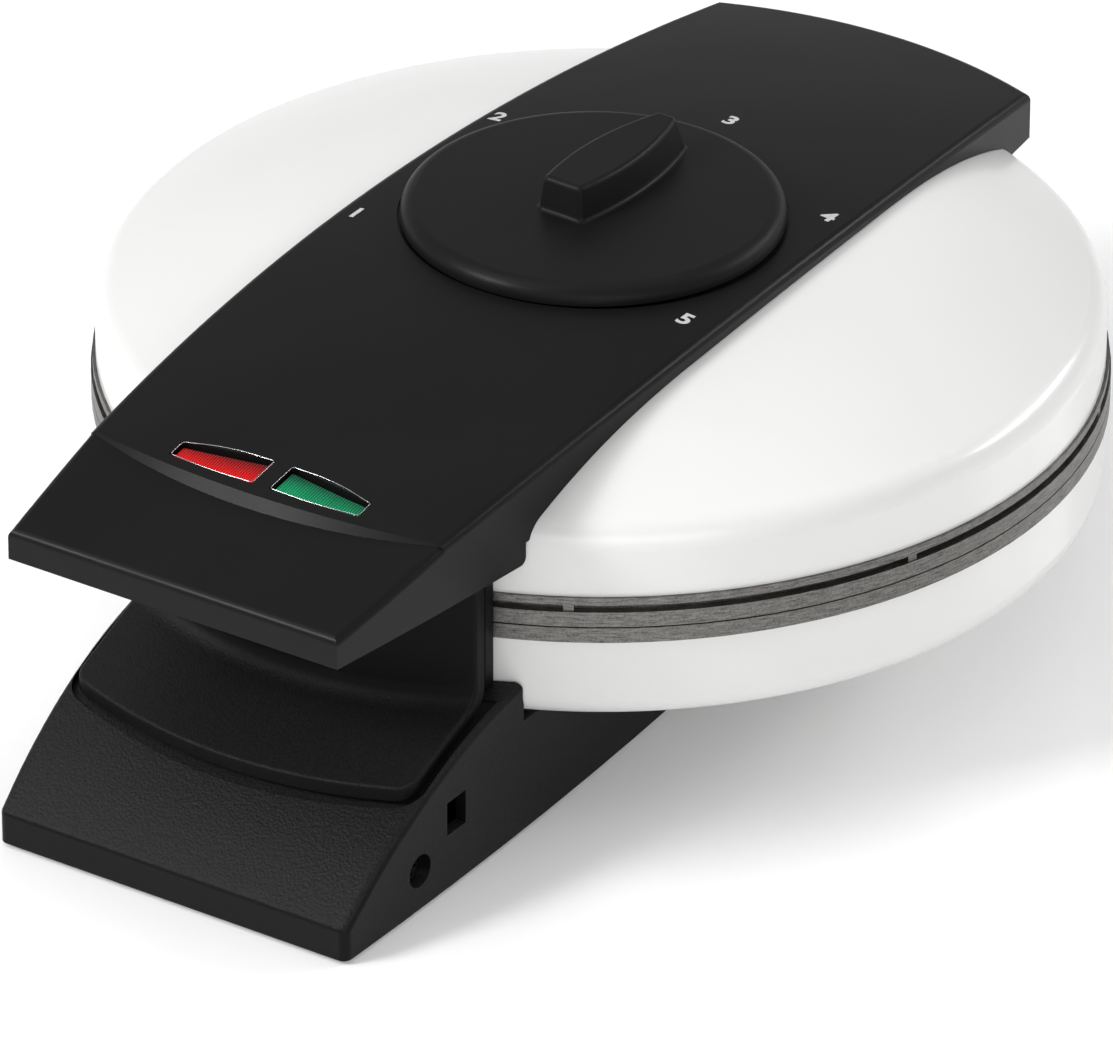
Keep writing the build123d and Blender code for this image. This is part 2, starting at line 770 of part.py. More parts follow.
with BuildPart() as handle_band:
    add(arch_slab(0, margin))
    extrude(band_outline(0), amount=arch_top, mode=Mode.INTERSECT)
    fillet(handle_band.faces().sort_by(Axis.Z)[-1].edges(), band_edge_fillet)
    add(lip_cut, mode=Mode.SUBTRACT)
    add(band_core, mode=Mode.SUBTRACT)
    for x, y in cover_screw_places:
        boss_z = grip_z(y - boss_radius) + cover_thickness + seat_gap
        with BuildSketch(plan(boss_z)):
            with Locations((x, y)):
                Circle(boss_radius)
        extrude(amount=lip_z(y) - band_wall / 2 - boss_z)
    for x, y in band_screw_places:
        with BuildSketch(plan(tail_z)):
            with Locations((x, y)):
                Circle(boss_radius)
        extrude(amount=arch_z(x, y) - band_wall / 2 - tail_z)
    post_z = board_z + board_thickness + seat_gap
    with BuildSketch(plan(post_z)):
        with Locations((-board_post, board_y), (board_post, board_y)):
            Circle(post_radius)
    extrude(amount=arch_z(board_post, board_y) - band_wall / 2 - post_z)
    with BuildSketch(side) as under_side:
        with BuildLine():
            Polyline(
                (-front_reach - margin, 0),
                (-front_reach - margin, grip_front_z),
                (band_front_y, grip_front_z),
                (handle_rear_y, grip_rear_z),
                (handle_rear_y, tail_z),
                (rear_reach, tail_z),
                (rear_reach, 0),
                close=True,
            )
        make_face()
        corner = under_side.vertices().sort_by_distance((handle_rear_y, grip_rear_z))[0]
        fillet(corner, handle_corner)
    extrude(amount=margin, both=True, mode=Mode.SUBTRACT)
    revolve(dome_profile(band_seat_gap), axis=body_axis, mode=Mode.SUBTRACT)
    with BuildSketch(plan(knob_seat_z)):
        with Locations((0, knob_y)):
            Circle(knob_radius + knob_gap)
    extrude(amount=margin, mode=Mode.SUBTRACT)
    with BuildSketch(plan(tail_z)):
        with Locations((0, knob_y)):
            Circle(spindle_radius + running_gap)
    extrude(amount=margin, mode=Mode.SUBTRACT)
    for turn in (-1, 1):
        extrude(window_outline(turn, 0), amount=arch_top, mode=Mode.SUBTRACT)
    for x, y in cover_screw_places:
        with BuildSketch(plan(0)):
            with Locations((x, y)):
                Circle(shank_radius + shank_gap)
        extrude(amount=grip_z(y) + head_height + cover_screw_reach + seat_gap, mode=Mode.SUBTRACT)
    for x, y in band_screw_places:
        with BuildSketch(plan(0)):
            with Locations((x, y)):
                Circle(shank_radius + shank_gap)
        extrude(amount=dome_z(sqrt(x * x + y * y)) + band_screw_reach, mode=Mode.SUBTRACT)
    lug_top_z = arch_z(lug_half, lug_rear_y) - band_wall / 2
    with BuildSketch(side):
        with BuildLine():
            Polyline(
                (lug_front_y, hinge_z),
                (lug_front_y, lug_top_z),
                (lug_rear_y, lug_top_z),
                (lug_rear_y, hinge_z),
                close=True,
            )
        make_face()
        with Locations((hinge_reach, hinge_z)):
            Circle(knuckle_radius)
            Circle(hinge_pin_radius + running_gap, mode=Mode.SUBTRACT)
    extrude(amount=lug_half, both=True)
handle_band.part.label = "handle_band"
export_step(handle_band.part, "parts/handle_band.step")

with BuildPart() as handle_undercover:
    with BuildSketch(side):
        with BuildLine():
            front = band_front_y
            Polyline(
                (front, grip_z(front)),
                (cover_rear_y, grip_z(cover_rear_y)),
                (cover_rear_y, grip_z(cover_rear_y) + cover_thickness),
                (front, grip_z(front) + cover_thickness),
                close=True,
            )
        make_face()
    extrude(amount=margin, both=True)
    extrude(band_outline(band_wall + lens_gap), amount=arch_top, mode=Mode.INTERSECT)
    with BuildSketch(plan(0)):
        with Locations(*cover_screw_places):
            Circle(shank_radius + shank_gap)
    extrude(amount=arch_top, mode=Mode.SUBTRACT)
    for x, y in cover_screw_places:
        with BuildSketch(plan(0)):
            with Locations((x, y)):
                Circle(head_radius + seat_gap)
        extrude(amount=grip_z(y) + head_height + seat_gap / 2, mode=Mode.SUBTRACT)
handle_undercover.part.label = "handle_undercover"
export_step(handle_undercover.part, "parts/handle_undercover.step")

with BuildPart() as undercover_screws:
    for place in cover_screw_places:
        add(screws([place], grip_z(place[1]) + head_height, cover_screw_reach))
undercover_screws.part.label = "undercover_screws"
export_step(undercover_screws.part, "parts/undercover_screws.step")

with BuildPart() as band_screws:
    for place in band_screw_places:
        under = dome_z(sqrt(place[0] ** 2 + place[1] ** 2) + head_radius) - shell_wall - seat_gap
        add(screws([place], under, band_screw_reach + shell_wall))
band_screws.part.label = "band_screws"
export_step(band_screws.part, "parts/band_screws.step")


def lens_layer(turn, grow, top_depth, bottom_depth):
    # slice of a window between two depths under the band's surface
    with BuildPart() as layer:
        add(arch_slab(top_depth, bottom_depth))
        extrude(window_outline(turn, grow), amount=arch_top, mode=Mode.INTERSECT)
    return layer.part


def lens(turn):
    # clear cover of one window, with a flange under the band's skin
    with BuildPart() as cap:
        add(lens_layer(turn, -lens_inset, lens_recess, lens_bottom))
        add(lens_layer(turn, lens_flange, lens_flange_top, lens_bottom))
    return cap.part


lens_inset = lens_gap + bezel_width + running_gap
lens_bottom = lens_flange_top + lens_flange_thickness
with BuildPart() as red_lens:
    add(lens(-1))
red_lens.part.label = "red_lens"
export_step(red_lens.part, "parts/red_lens.step")

with BuildPart() as green_lens:
    add(lens(1))
green_lens.part.label = "green_lens"
export_step(green_lens.part, "parts/green_lens.step")

# thin frames that stand on the lenses' flanges and line the windows
with BuildPart() as window_bezels:
    for turn in (-1, 1):
        add(lens_layer(turn, -lens_gap, bezel_depth, lens_flange_top - running_gap))
    for turn in (-1, 1):
        add(lens_layer(turn, -lens_gap - bezel_width, 0, lens_bottom), mode=Mode.SUBTRACT)
window_bezels.part.label = "window_bezels"
export_step(window_bezels.part, "parts/window_bezels.step")

with BuildPart() as lamp_holder:
    with BuildSketch(plan(board_z)):
        with Locations((0, board_y)):
            RectangleRounded(2 * board_half, board_length, board_corner)
    extrude(amount=board_thickness)
lamp_holder.part.label = "lamp_holder"
export_step(lamp_holder.part, "parts/lamp_holder.step")

with BuildPart() as indicator_lamps:
    with BuildSketch(plan(board_z + board_thickness)):
        with GridLocations(window_inner_x + window_outer_x, 1, 2, 1):
            with Locations((0, board_y)):
                Circle(lamp_radius)
    extrude(amount=lamp_height)
    fillet(indicator_lamps.faces().filter_by(Axis.Z).group_by(Axis.Z)[-1].edges(), lamp_radius / 2)
indicator_lamps.part.label = "indicator_lamps"
export_step(indicator_lamps.part, "parts/indicator_lamps.step")

# U-shaped bar behind the latch's hook
catch_leg_top = arch_z(catch_half, catch_front_y) - band_wall - seat_gap
with BuildPart() as catch_bar:
    with BuildSketch(Plane(origin=(0, axis_y + catch_front_y, 0), x_dir=(1, 0, 0), z_dir=(0, -1, 0))):
        with BuildLine():
            Polyline(
                (-catch_half, catch_leg_top),
                (-catch_half, catch_top - catch_height),
                (catch_half, catch_top - catch_height),
                (catch_half, catch_leg_top),
                (catch_half - catch_leg, catch_leg_top),
                (catch_half - catch_leg, catch_top),
                (catch_leg - catch_half, catch_top),
                (catch_leg - catch_half, catch_leg_top),
                close=True,
            )
        make_face()
    extrude(amount=-catch_width)
catch_bar.part.label = "catch_bar"
export_step(catch_bar.part, "parts/catch_bar.step")

with BuildPart() as thermostat:
    with BuildSketch(plan(thermostat_top)):
        with Locations((0, knob_y)):
            RectangleRounded(thermostat_size, thermostat_size, thermostat_corner)
    extrude(amount=-thermostat_height)
    with BuildSketch(plan(thermostat_top)):
        with Locations((0, knob_y)):
            Circle(spindle_radius + 2 * seat_gap)
    extrude(amount=-thermostat_height / 2, mode=Mode.SUBTRACT)
thermostat.part.label = "thermostat"
export_step(thermostat.part, "parts/thermostat.step")

strap_half = thermostat_size / 2 + seat_gap + strap_thickness
strap_reach = sqrt((strap_half + strap_foot) ** 2 + (strap_width / 2 - knob_y) ** 2)
strap_foot_z = dome_z(strap_reach) - shell_wall - seat_gap - strap_thickness
with BuildPart() as thermostat_bracket:
    with BuildSketch(Plane(origin=(0, axis_y + knob_y, 0), x_dir=(1, 0, 0), z_dir=(0, -1, 0))):
        floor_z = thermostat_top - thermostat_height - seat_gap - strap_thickness
        with BuildLine():
            hat = Polyline(
                (-strap_half - strap_foot, strap_foot_z),
                (-strap_half, strap_foot_z),
                (-strap_half, floor_z),
                (strap_half, floor_z),
                (strap_half, strap_foot_z),
                (strap_half + strap_foot, strap_foot_z),
            )
            offset(hat, amount=strap_thickness, side=Side.LEFT)
        make_face()
    extrude(amount=strap_width / 2, both=True)
thermostat_bracket.part.label = "thermostat_bracket"
export_step(thermostat_bracket.part, "parts/thermostat_bracket.step")

# Knob: low domed disc with a boat-shaped pointer, on a spindle through the band

def pointer_outline(level, front_lean, side_lean, rear_lean):
    # plan of the pointer: square front, full middle, narrow rear; each face leans in
    turn = radians(pointer_turn)
    front_y = pointer_front + front_lean
    rear_y = pointer_rear - rear_lean
    front_half = pointer_front_half - side_lean
    middle_half = pointer_middle_half - side_lean
    rear_half = pointer_rear_half - side_lean
    place = Plane(
        origin=(0, axis_y + knob_y, level), x_dir=(cos(turn), sin(turn), 0), z_dir=(0, 0, 1)
    )
    with BuildSketch(place) as outline:
        with BuildLine():
            Line((-front_half, front_y), (front_half, front_y))
            ThreePointArc((front_half, front_y), (middle_half, pointer_middle), (rear_half, rear_y))
            Line((rear_half, rear_y), (-rear_half, rear_y))
            ThreePointArc((-rear_half, rear_y), (-middle_half, pointer_middle), (-front_half, front_y))
        make_face()
        fillet(outline.vertices(), pointer_corner - side_lean / 2)
    return outline.sketch


knob_rim_z = knob_z + knob_side + knob_rim_round
pointer_foot_z = knob_z + knob_side
with BuildPart() as knob:
    with BuildSketch(knob_section) as knob_half:
        with BuildLine():
            Line((0, knob_z), (knob_radius, knob_z))
            Line((knob_radius, knob_z), (knob_radius, knob_rim_z))
            ThreePointArc(
                (knob_radius, knob_rim_z),
                (knob_radius / 2, knob_rim_z + knob_dome * 3 / 4),
                (0, knob_rim_z + knob_dome),
            )
            Line((0, knob_rim_z + knob_dome), (0, knob_z))
        make_face()
        fillet(knob_half.vertices().sort_by_distance((knob_radius, knob_rim_z))[0], knob_rim_round)
    revolve(axis=knob_axis)
    foot = pointer_outline(pointer_foot_z, 0, 0, 0)
    crest = pointer_outline(pointer_top, pointer_front_lean, pointer_side_lean, pointer_rear_lean)
    loft([foot, crest], ruled=True)
    fillet(knob.faces().sort_by(Axis.Z)[-1].edges(), pointer_round)
    # the edges where the pointer stands on the dome, well inside the rim's rounding
    foot_edges = []
    for edge in knob.edges():
        middle = edge @ 0.5
        on_dome = knob_rim_z - knob_dome < middle.Z < knob_rim_z + 2 * knob_dome
        from_axis = Vector(middle.X, middle.Y - axis_y - knob_y).length
        if on_dome and from_axis < knob_radius - knob_rim_round - pointer_foot_round:
            foot_edges.append(edge)
    fillet(foot_edges, pointer_foot_round)
knob.part.label = "knob"
export_step(knob.part, "parts/knob.step")

with BuildPart() as knob_spindle:
    with BuildSketch(plan(thermostat_top - thermostat_height / 3)):
        with Locations((0, knob_y)):
            Circle(spindle_radius)
    extrude(amount=knob_z - thermostat_top + thermostat_height / 3)
knob_spindle.part.label = "knob_spindle"
export_step(knob_spindle.part, "parts/knob_spindle.step")

# Base: hollow housing with the latch's pocket, the heat guard and the hinge tower

with BuildPart() as base_cavity:
    with BuildSketch(side):
        with BuildLine():
            ThreePointArc(
                (-front_reach, front_face_z - slope_skin),
                (slope_middle_y, slope_middle_z - slope_skin),
                (slope_rear_y, slope_rear_z - slope_skin),
            )
            Polyline(
                (slope_rear_y, slope_rear_z - slope_skin),
                (tower_front_y - base_wall, slope_rear_z - slope_skin),
                (tower_front_y - base_wall, 0),
                (-front_reach, 0),
                (-front_reach, front_face_z - slope_skin),
            )
        make_face()
        Rectangle(3 * front_reach, 2 * base_ceiling, mode=Mode.INTERSECT)
    extrude(amount=margin, both=True)
    extrude(base_outline(base_wall), amount=arch_top, mode=Mode.INTERSECT)

slot_front_y = arm_front_y - slot_gap
slot_rear_y = arm_rear_y + 2 * slot_gap
side_wall_x = base_widest_half - (side_screw_y - base_widest_y) ** 2 / (2 * base_side_radius)
side_floor_x = side_wall_x - side_recess_depth
with BuildPart() as base_housing:
    with BuildSketch(side):
        with BuildLine():
            ThreePointArc(
                (-front_reach, front_face_z),
                (slope_middle_y, slope_middle_z),
                (slope_rear_y, slope_rear_z),
            )
            Polyline(
                (slope_rear_y, slope_rear_z),
                (slope_rear_y, bowl_seat_z),
                (tower_front_y, bowl_seat_z),
                (tower_front_y, hinge_z),
                (hinge_reach - knuckle_radius, hinge_z),
            )
            ThreePointArc(
                (hinge_reach - knuckle_radius, hinge_z),
                (hinge_reach, hinge_z + knuckle_radius),
                (rear_reach, hinge_z),
            )
            Polyline(
                (rear_reach, hinge_z),
                (rear_reach, base_lift),
                (-front_reach, base_lift),
                (-front_reach, front_face_z),
            )
        make_face()
    extrude(amount=margin, both=True)
    extrude(base_outline(0), amount=arch_top, mode=Mode.INTERSECT)
    slope = base_housing.faces().sort_by_distance((0, axis_y + slope_middle_y, slope_middle_z))[0]
    fillet(slope.edges().sort_by(Axis.Y)[:-1], base_edge_fillet)
    # heat guard, concentric with the bowl
    with BuildSketch(plan(slope_middle_z)):
        with Locations((0, -guard_inner_radius)):
            Rectangle(2 * guard_half, 2 * guard_half)
        Circle(guard_inner_radius + guard_thickness, mode=Mode.INTERSECT)
        Circle(guard_inner_radius, mode=Mode.SUBTRACT)
    extrude(amount=guard_top_z - slope_middle_z)
    revolve(bowl_profile(bowl_clearance), axis=body_axis, mode=Mode.SUBTRACT)
    add(latch_plate(latch_gap, latch_under_gap), mode=Mode.SUBTRACT)
    add(base_cavity, mode=Mode.SUBTRACT)
    # slots for the latch's arms, and the plates that hold its pin
    for x in (-arm_x, arm_x):
        with BuildSketch(plan(latch_z)):
            with Locations((x, (slot_front_y + slot_rear_y) / 2)):
                Rectangle(arm_width + 2 * slot_gap, slot_rear_y - slot_front_y)
        extrude(amount=slope_rear_z - latch_z, mode=Mode.SUBTRACT)
    for x in (-boss_plate_x, boss_plate_x):
        with BuildSketch(across(x)):
            with Locations((latch_y, latch_z)):
                Circle(boss_plate_length / 2)
                Rectangle(boss_plate_length, base_ceiling - latch_z, align=(Align.CENTER, Align.MIN))
            with Locations((latch_y, latch_z)):
                Circle(latch_pin_radius + running_gap, mode=Mode.SUBTRACT)
        extrude(amount=boss_plate_width / 2, both=True)
    for x, turn in ((side_floor_x, 1), (-side_floor_x, -1)):
        with BuildSketch(across(turn * (side_wall_x - base_wall / 2))):
            with Locations((side_screw_y, side_screw_z)):
                Circle(side_boss_radius)
        extrude(amount=-turn * (side_recess_depth - base_wall / 2 + side_boss_length))
        with BuildSketch(across(x)):
            with Locations((side_screw_y, side_screw_z)):
                Circle(side_recess_radius)
            with Locations((latch_y, latch_z)):
                Rectangle(side_window_width, side_window_height)
        extrude(amount=turn * margin, mode=Mode.SUBTRACT)
        with BuildSketch(across(x)):
            with Locations((side_screw_y, side_screw_z)):
                Circle(shank_radius + shank_gap)
        extrude(amount=-turn * side_boss_length, mode=Mode.SUBTRACT)
        with BuildSketch(across(x)):
            with Locations((latch_y, latch_z)):
                Rectangle(side_window_width, side_window_height)
        extrude(amount=-turn * base_wall, mode=Mode.SUBTRACT)
    for x, y in base_screw_places:
        with BuildSketch(plan(base_cover_top + base_cover_gap)):
            with Locations((x, y)):
                Circle(boss_radius)
                Circle(shank_radius + shank_gap, mode=Mode.SUBTRACT)
        extrude(amount=base_ceiling - base_cover_top - base_cover_gap)
    # hinge: slot for the lid's lug, pin bore, and the cord's gland seat
    with BuildSketch(side):
        with Locations((tower_front_y - ear_gap, hinge_z - knuckle_radius - ear_gap)):
            Rectangle(margin, margin, align=(Align.MIN, Align.MIN))
    extrude(amount=ear_inner_half, both=True, mode=Mode.SUBTRACT)
    with BuildSketch(side):
        with Locations((hinge_reach, hinge_z)):
            Circle(hinge_pin_radius + running_gap)
    extrude(amount=margin, both=True, mode=Mode.SUBTRACT)
    with BuildSketch(Plane(origin=(0, axis_y + rear_reach, 0), x_dir=(-1, 0, 0), z_dir=(0, 1, 0))):
        with Locations((0, gland_z)):
            Circle(gland_radius)
    extrude(amount=-gland_length, mode=Mode.SUBTRACT)
    with BuildSketch(Plane(origin=(0, axis_y + rear_reach, 0), x_dir=(-1, 0, 0), z_dir=(0, 1, 0))):
        with Locations((0, gland_z)):
            Circle(cord_radius + seat_gap)
    extrude(amount=tower_front_y - rear_reach - 2 * base_wall, mode=Mode.SUBTRACT)
    with BuildSketch(plan(base_lift)):
        Circle(wire_hole)
    extrude(amount=margin, mode=Mode.SUBTRACT)
base_housing.part.label = "base_housing"
export_step(base_housing.part, "parts/base_housing.step")

with BuildPart() as base_cover:
    extrude(base_outline(base_wall + base_cover_gap), amount=base_cover_top)
    split(bisect_by=Plane.XY.offset(base_lift), keep=Keep.TOP)
    cover_end = axis_y + tower_front_y - base_wall - base_cover_gap
    split(bisect_by=Plane.XZ.offset(-cover_end), keep=Keep.TOP)
    with BuildSketch(plan(0)):
        with Locations(*foot_places):
            Circle(foot_radius + base_cover_gap)
    extrude(amount=foot_height, mode=Mode.SUBTRACT)
    with BuildSketch(plan(0)):
        with Locations(*base_screw_places):
            Circle(head_radius + base_cover_gap)
    extrude(amount=base_lift + head_height + seat_gap, mode=Mode.SUBTRACT)
    with BuildSketch(plan(0)):
        with Locations(*base_screw_places):
            Circle(shank_radius + shank_gap)
    extrude(amount=base_cover_top, mode=Mode.SUBTRACT)
base_cover.part.label = "base_cover"
export_step(base_cover.part, "parts/base_cover.step")

with BuildPart() as rubber_feet:
    with BuildSketch(plan(0)):
        with Locations(*foot_places):
            Circle(foot_radius)
    extrude(amount=foot_height)
    fillet(rubber_feet.faces().group_by(Axis.Z)[0].edges(), foot_round)
rubber_feet.part.label = "rubber_feet"
export_step(rubber_feet.part, "parts/rubber_feet.step")

with BuildPart() as base_screws:
    add(screws(base_screw_places, base_lift + head_height, base_screw_reach))
base_screws.part.label = "base_screws"
export_step(base_screws.part, "parts/base_screws.step")

with BuildPart() as side_screws:
    for x, turn in ((side_floor_x, 1), (-side_floor_x, -1)):
        with BuildSketch(across(x + turn * seat_gap)):
            with Locations((side_screw_y, side_screw_z)):
                Circle(side_recess_radius - seat_gap)
        extrude(amount=turn * head_height)
        with BuildSketch(across(x + turn * seat_gap)):
            with Locations((side_screw_y, side_screw_z)):
                Circle(shank_radius)
        extrude(amount=-turn * side_boss_length)
side_screws.part.label = "side_screws"
export_step(side_screws.part, "parts/side_screws.step")

with BuildPart() as latch_pin:
    with BuildSketch(side):
        with Locations((latch_y, latch_z)):
            Circle(latch_pin_radius)
    extrude(amount=latch_pin_half, both=True)
latch_pin.part.label = "latch_pin"
export_step(latch_pin.part, "parts/latch_pin.step")

with BuildPart() as hinge_pin:
    with BuildSketch(side):
        with Locations((hinge_reach, hinge_z)):
            Circle(hinge_pin_radius)
    extrude(amount=hinge_pin_half, both=True)
hinge_pin.part.label = "hinge_pin"
export_step(hinge_pin.part, "parts/hinge_pin.step")

with BuildPart() as cord_gland:
    with BuildSketch(Plane(origin=(0, axis_y + rear_reach, 0), x_dir=(-1, 0, 0), z_dir=(0, 1, 0))):
        with Locations((0, gland_z)):
            Circle(gland_radius - seat_gap)
            Circle(cord_radius, mode=Mode.SUBTRACT)
    extrude(amount=seat_gap - gland_length)
cord_gland.part.label = "cord_gland"
export_step(cord_gland.part, "parts/cord_gland.step")

with BuildPart() as terminal_block:
    with BuildSketch(plan(base_cover_top + seat_gap)):
        with Locations((0, terminal_y)):
            Rectangle(terminal_length, terminal_width)
    extrude(amount=terminal_height)
    with BuildSketch(plan(base_cover_top + seat_gap + terminal_height)):
        with Locations((0, terminal_y)):
            with GridLocations(terminal_length / 3, terminal_width / 2, 3, 2):
                Circle(shank_radius)
    extrude(amount=-terminal_height / 2, mode=Mode.SUBTRACT)
terminal_block.part.label = "terminal_block"
export_step(terminal_block.part, "parts/terminal_block.step")

# Latch: wall and flare in one, arms to the pivot and a hook that reaches over the lid's bar

with BuildPart() as latch_lever:
    add(latch_plate(0, 0))
    bend_z = flare_z(-latch_wall_radius)
    bend = latch_lever.edges().sort_by_distance((0, axis_y - latch_wall_radius, bend_z))[0]
    fillet(bend, latch_bend)
    heel_z = flare_z(-latch_inner_radius) - flare_drop
    heel = latch_lever.edges().sort_by_distance((0, axis_y - latch_inner_radius, heel_z))[0]
    fillet(heel, latch_bend)
    # the outer faces, from the flare up the wall, share one rounded rim
    outside = ShapeList(
        latch_lever.faces().sort_by_distance(point)[0]
        for point in (
            (0, axis_y - flare_radius + latch_bend, flare_z(-flare_radius + latch_bend)),
            (0, axis_y - latch_wall_radius, latch_top_z - latch_bend),
            (0, axis_y - latch_wall_radius - latch_bend / 3, bend_z + latch_bend / 3),
        )
    )
    rim = [edge for face in outside for edge in face.edges()]
    rim = ShapeList(edge for edge in rim if sum(edge.is_same(other) for other in rim) == 1)
    fillet(rim.sort_by(Axis.Z)[:-1], latch_round)
    for x in (-arm_x, arm_x):
        with BuildSketch(across(x)):
            with BuildLine():
                Polyline(
                    (arm_front_y, latch_z),
                    (arm_front_y, flare_z(arm_front_y) - flare_drop / 2),
                    (arm_rear_y, flare_z(arm_rear_y) - flare_drop / 2),
                    (arm_rear_y, latch_z),
                    close=True,
                )
            make_face()
            with Locations((latch_y, latch_z)):
                Circle(arm_eye)
                Circle(latch_pin_radius + running_gap, mode=Mode.SUBTRACT)
        extrude(amount=arm_width / 2, both=True)
    with BuildSketch(side):
        with BuildLine():
            Polyline(
                (hook_front_y, hook_foot_z),
                (hook_front_y, hook_top_z),
                (hook_tip_y, hook_top_z - catch_rise),
                (hook_tip_y, hook_under_z),
                (hook_back_y, hook_under_z),
                (hook_back_y, latch_top_z),
                (latch_thickness / 2 - latch_wall_radius, latch_top_z),
                (latch_thickness / 2 - latch_wall_radius, hook_foot_z),
                close=True,
            )
        make_face()
    extrude(amount=hook_half, both=True)
latch_lever.part.label = "latch_lever"
export_step(latch_lever.part, "parts/latch_lever.step")
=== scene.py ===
import json
import math

import bpy
from mathutils import Matrix, Vector


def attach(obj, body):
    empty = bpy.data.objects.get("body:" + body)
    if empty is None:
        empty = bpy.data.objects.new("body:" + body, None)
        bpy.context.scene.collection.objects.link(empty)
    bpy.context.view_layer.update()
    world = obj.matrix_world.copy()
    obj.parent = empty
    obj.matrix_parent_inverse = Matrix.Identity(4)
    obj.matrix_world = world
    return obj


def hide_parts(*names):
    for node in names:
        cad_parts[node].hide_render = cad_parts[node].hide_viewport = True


# Stroopwafel maker in its product-shot pose: white enamelled shells, black plastic
# handle band and base, aluminium baking plates, red and green lamp lenses.

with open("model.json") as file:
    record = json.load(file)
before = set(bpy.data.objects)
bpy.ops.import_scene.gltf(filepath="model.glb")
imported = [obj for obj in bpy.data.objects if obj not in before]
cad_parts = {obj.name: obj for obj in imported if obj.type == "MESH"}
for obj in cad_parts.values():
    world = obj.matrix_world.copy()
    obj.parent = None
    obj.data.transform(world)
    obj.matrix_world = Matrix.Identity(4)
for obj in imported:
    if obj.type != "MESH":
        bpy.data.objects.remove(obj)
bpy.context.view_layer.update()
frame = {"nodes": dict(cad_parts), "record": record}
nodes = frame["nodes"]
mm = 0.001
axisY = 20.5 * mm  # upright axis of the round body
sharpAngle = math.radians(35)  # edges steeper than this stay sharp
print("frame loaded:", len(nodes), "nodes")


# Materials

def linearColour(text):
    # sRGB hex text to a linear colour
    values = [int(text[i:i + 2], 16) / 255 for i in (1, 3, 5)]
    linear = [v / 12.92 if v <= 0.04045 else ((v + 0.055) / 1.055) ** 2.4 for v in values]
    return (*linear, 1.0)


def addNode(tree, kind, settings=None, links=None):
    # one node with its attributes, socket values and incoming links
    node = tree.nodes.new(kind)
    for name, value in (settings or {}).items():
        if isinstance(name, str) and hasattr(node, name):
            setattr(node, name, value)
        else:
            node.inputs[name].default_value = value
    for name, source in (links or {}).items():
        tree.links.new(source, node.inputs[name])
    return node


def addMath(tree, operation, *terms):
    # a math node's result; each term is a number or another node's output
    node = addNode(tree, "ShaderNodeMath", {"operation": operation})
    for socket, term in zip(node.inputs, terms):
        if isinstance(term, float):
            socket.default_value = term
        else:
            tree.links.new(term, socket)
    return node.outputs[0]


def addNoise(tree, place, scale, detail, roughness=0.5):
    # fractal noise, from 0 to 1
    return addNode(
        tree, "ShaderNodeTexNoise",
        {"Scale": scale, "Detail": detail, "Roughness": roughness}, {"Vector": place},
    ).outputs[0]


def addRange(tree, value, given, wanted):
    # a value that goes from one pair of limits to another, and never past them
    return addNode(
        tree, "ShaderNodeMapRange", {
            "From Min": given[0], "From Max": given[1],
            "To Min": wanted[0], "To Max": wanted[1],
        }, {"Value": value},
    ).outputs[0]


def newMaterial(name, shader):
    # a Principled material with these socket values, and its object coordinates
    material = bpy.data.materials.new(name)
    material.use_nodes = True
    tree = material.node_tree
    tree.nodes.clear()
    bsdf = addNode(tree, "ShaderNodeBsdfPrincipled", shader)
    addNode(tree, "ShaderNodeOutputMaterial", {}, {"Surface": bsdf.outputs[0]})
    place = addNode(tree, "ShaderNodeTexCoord").outputs["Object"]
    return material, tree, bsdf, place


def blendTones(tree, pattern, look, low=0.3, high=0.7):
    # dark where the pattern is low, light where it is high
    ramp = addNode(tree, "ShaderNodeValToRGB", {}, {"Fac": pattern})
    for element, position, tone in zip(ramp.color_ramp.elements, (low, high), ("dark", "light")):
        element.position = position
        element.color = linearColour(look[tone])
    return ramp.outputs[0]


def setColour(tree, bsdf, pattern, look, low=0.3, high=0.7):
    # base colour between the look's two tones
    tone = blendTones(tree, pattern, look, low, high)
    tree.links.new(tone, bsdf.inputs["Base Color"])


def setSheen(tree, bsdf, pattern, look, low=0.3, high=0.7):
    # roughness from the look's low value to its high one, as the pattern goes
    sheen = addRange(tree, pattern, (low, high), (look["low"], look["high"]))
    tree.links.new(sheen, bsdf.inputs["Roughness"])


def setRelief(tree, bsdf, height, strength, depthMm):
    # shaded relief; the depth is that of a height of 1
    bump = addNode(
        tree, "ShaderNodeBump", {"Strength": strength, "Distance": depthMm * mm},
        {"Height": height},
    )
    tree.links.new(bump.outputs[0], bsdf.inputs["Normal"])


def makeStovedEnamel(look):
    # powder paint stoved onto pressed steel: glossy white with a faint orange peel
    material, tree, bsdf, place = newMaterial(look["name"], {
        "IOR": 1.5, "Roughness": look["roughness"],
        "Coat Weight": look["coat"], "Coat Roughness": 0.1, "Coat IOR": 1.5,
    })
    drift = addNoise(tree, place, scale=9.0, detail=3.0)
    setColour(tree, bsdf, drift, look)
    peel = addNoise(tree, place, scale=1 / (look["peelMm"] * mm), detail=2.0)
    setRelief(tree, bsdf, peel, strength=0.25, depthMm=look["peelDepthMm"])
    return material


def makeMouldedPlastic(look):
    # part from a spark-eroded mould: even colour, fine matt grain, slightly uneven sheen
    material, tree, bsdf, place = newMaterial(look["name"], {
        "IOR": 1.5, "Specular IOR Level": look["specular"],
    })
    drift = addNoise(tree, place, scale=30.0, detail=3.0)
    setColour(tree, bsdf, drift, look)
    setSheen(tree, bsdf, drift, look, low=0.35, high=0.65)
    grain = addNoise(tree, place, scale=1 / (look["grainMm"] * mm), detail=3.0, roughness=0.6)
    setRelief(tree, bsdf, grain, strength=0.5, depthMm=look["grainDepthMm"])
    return material


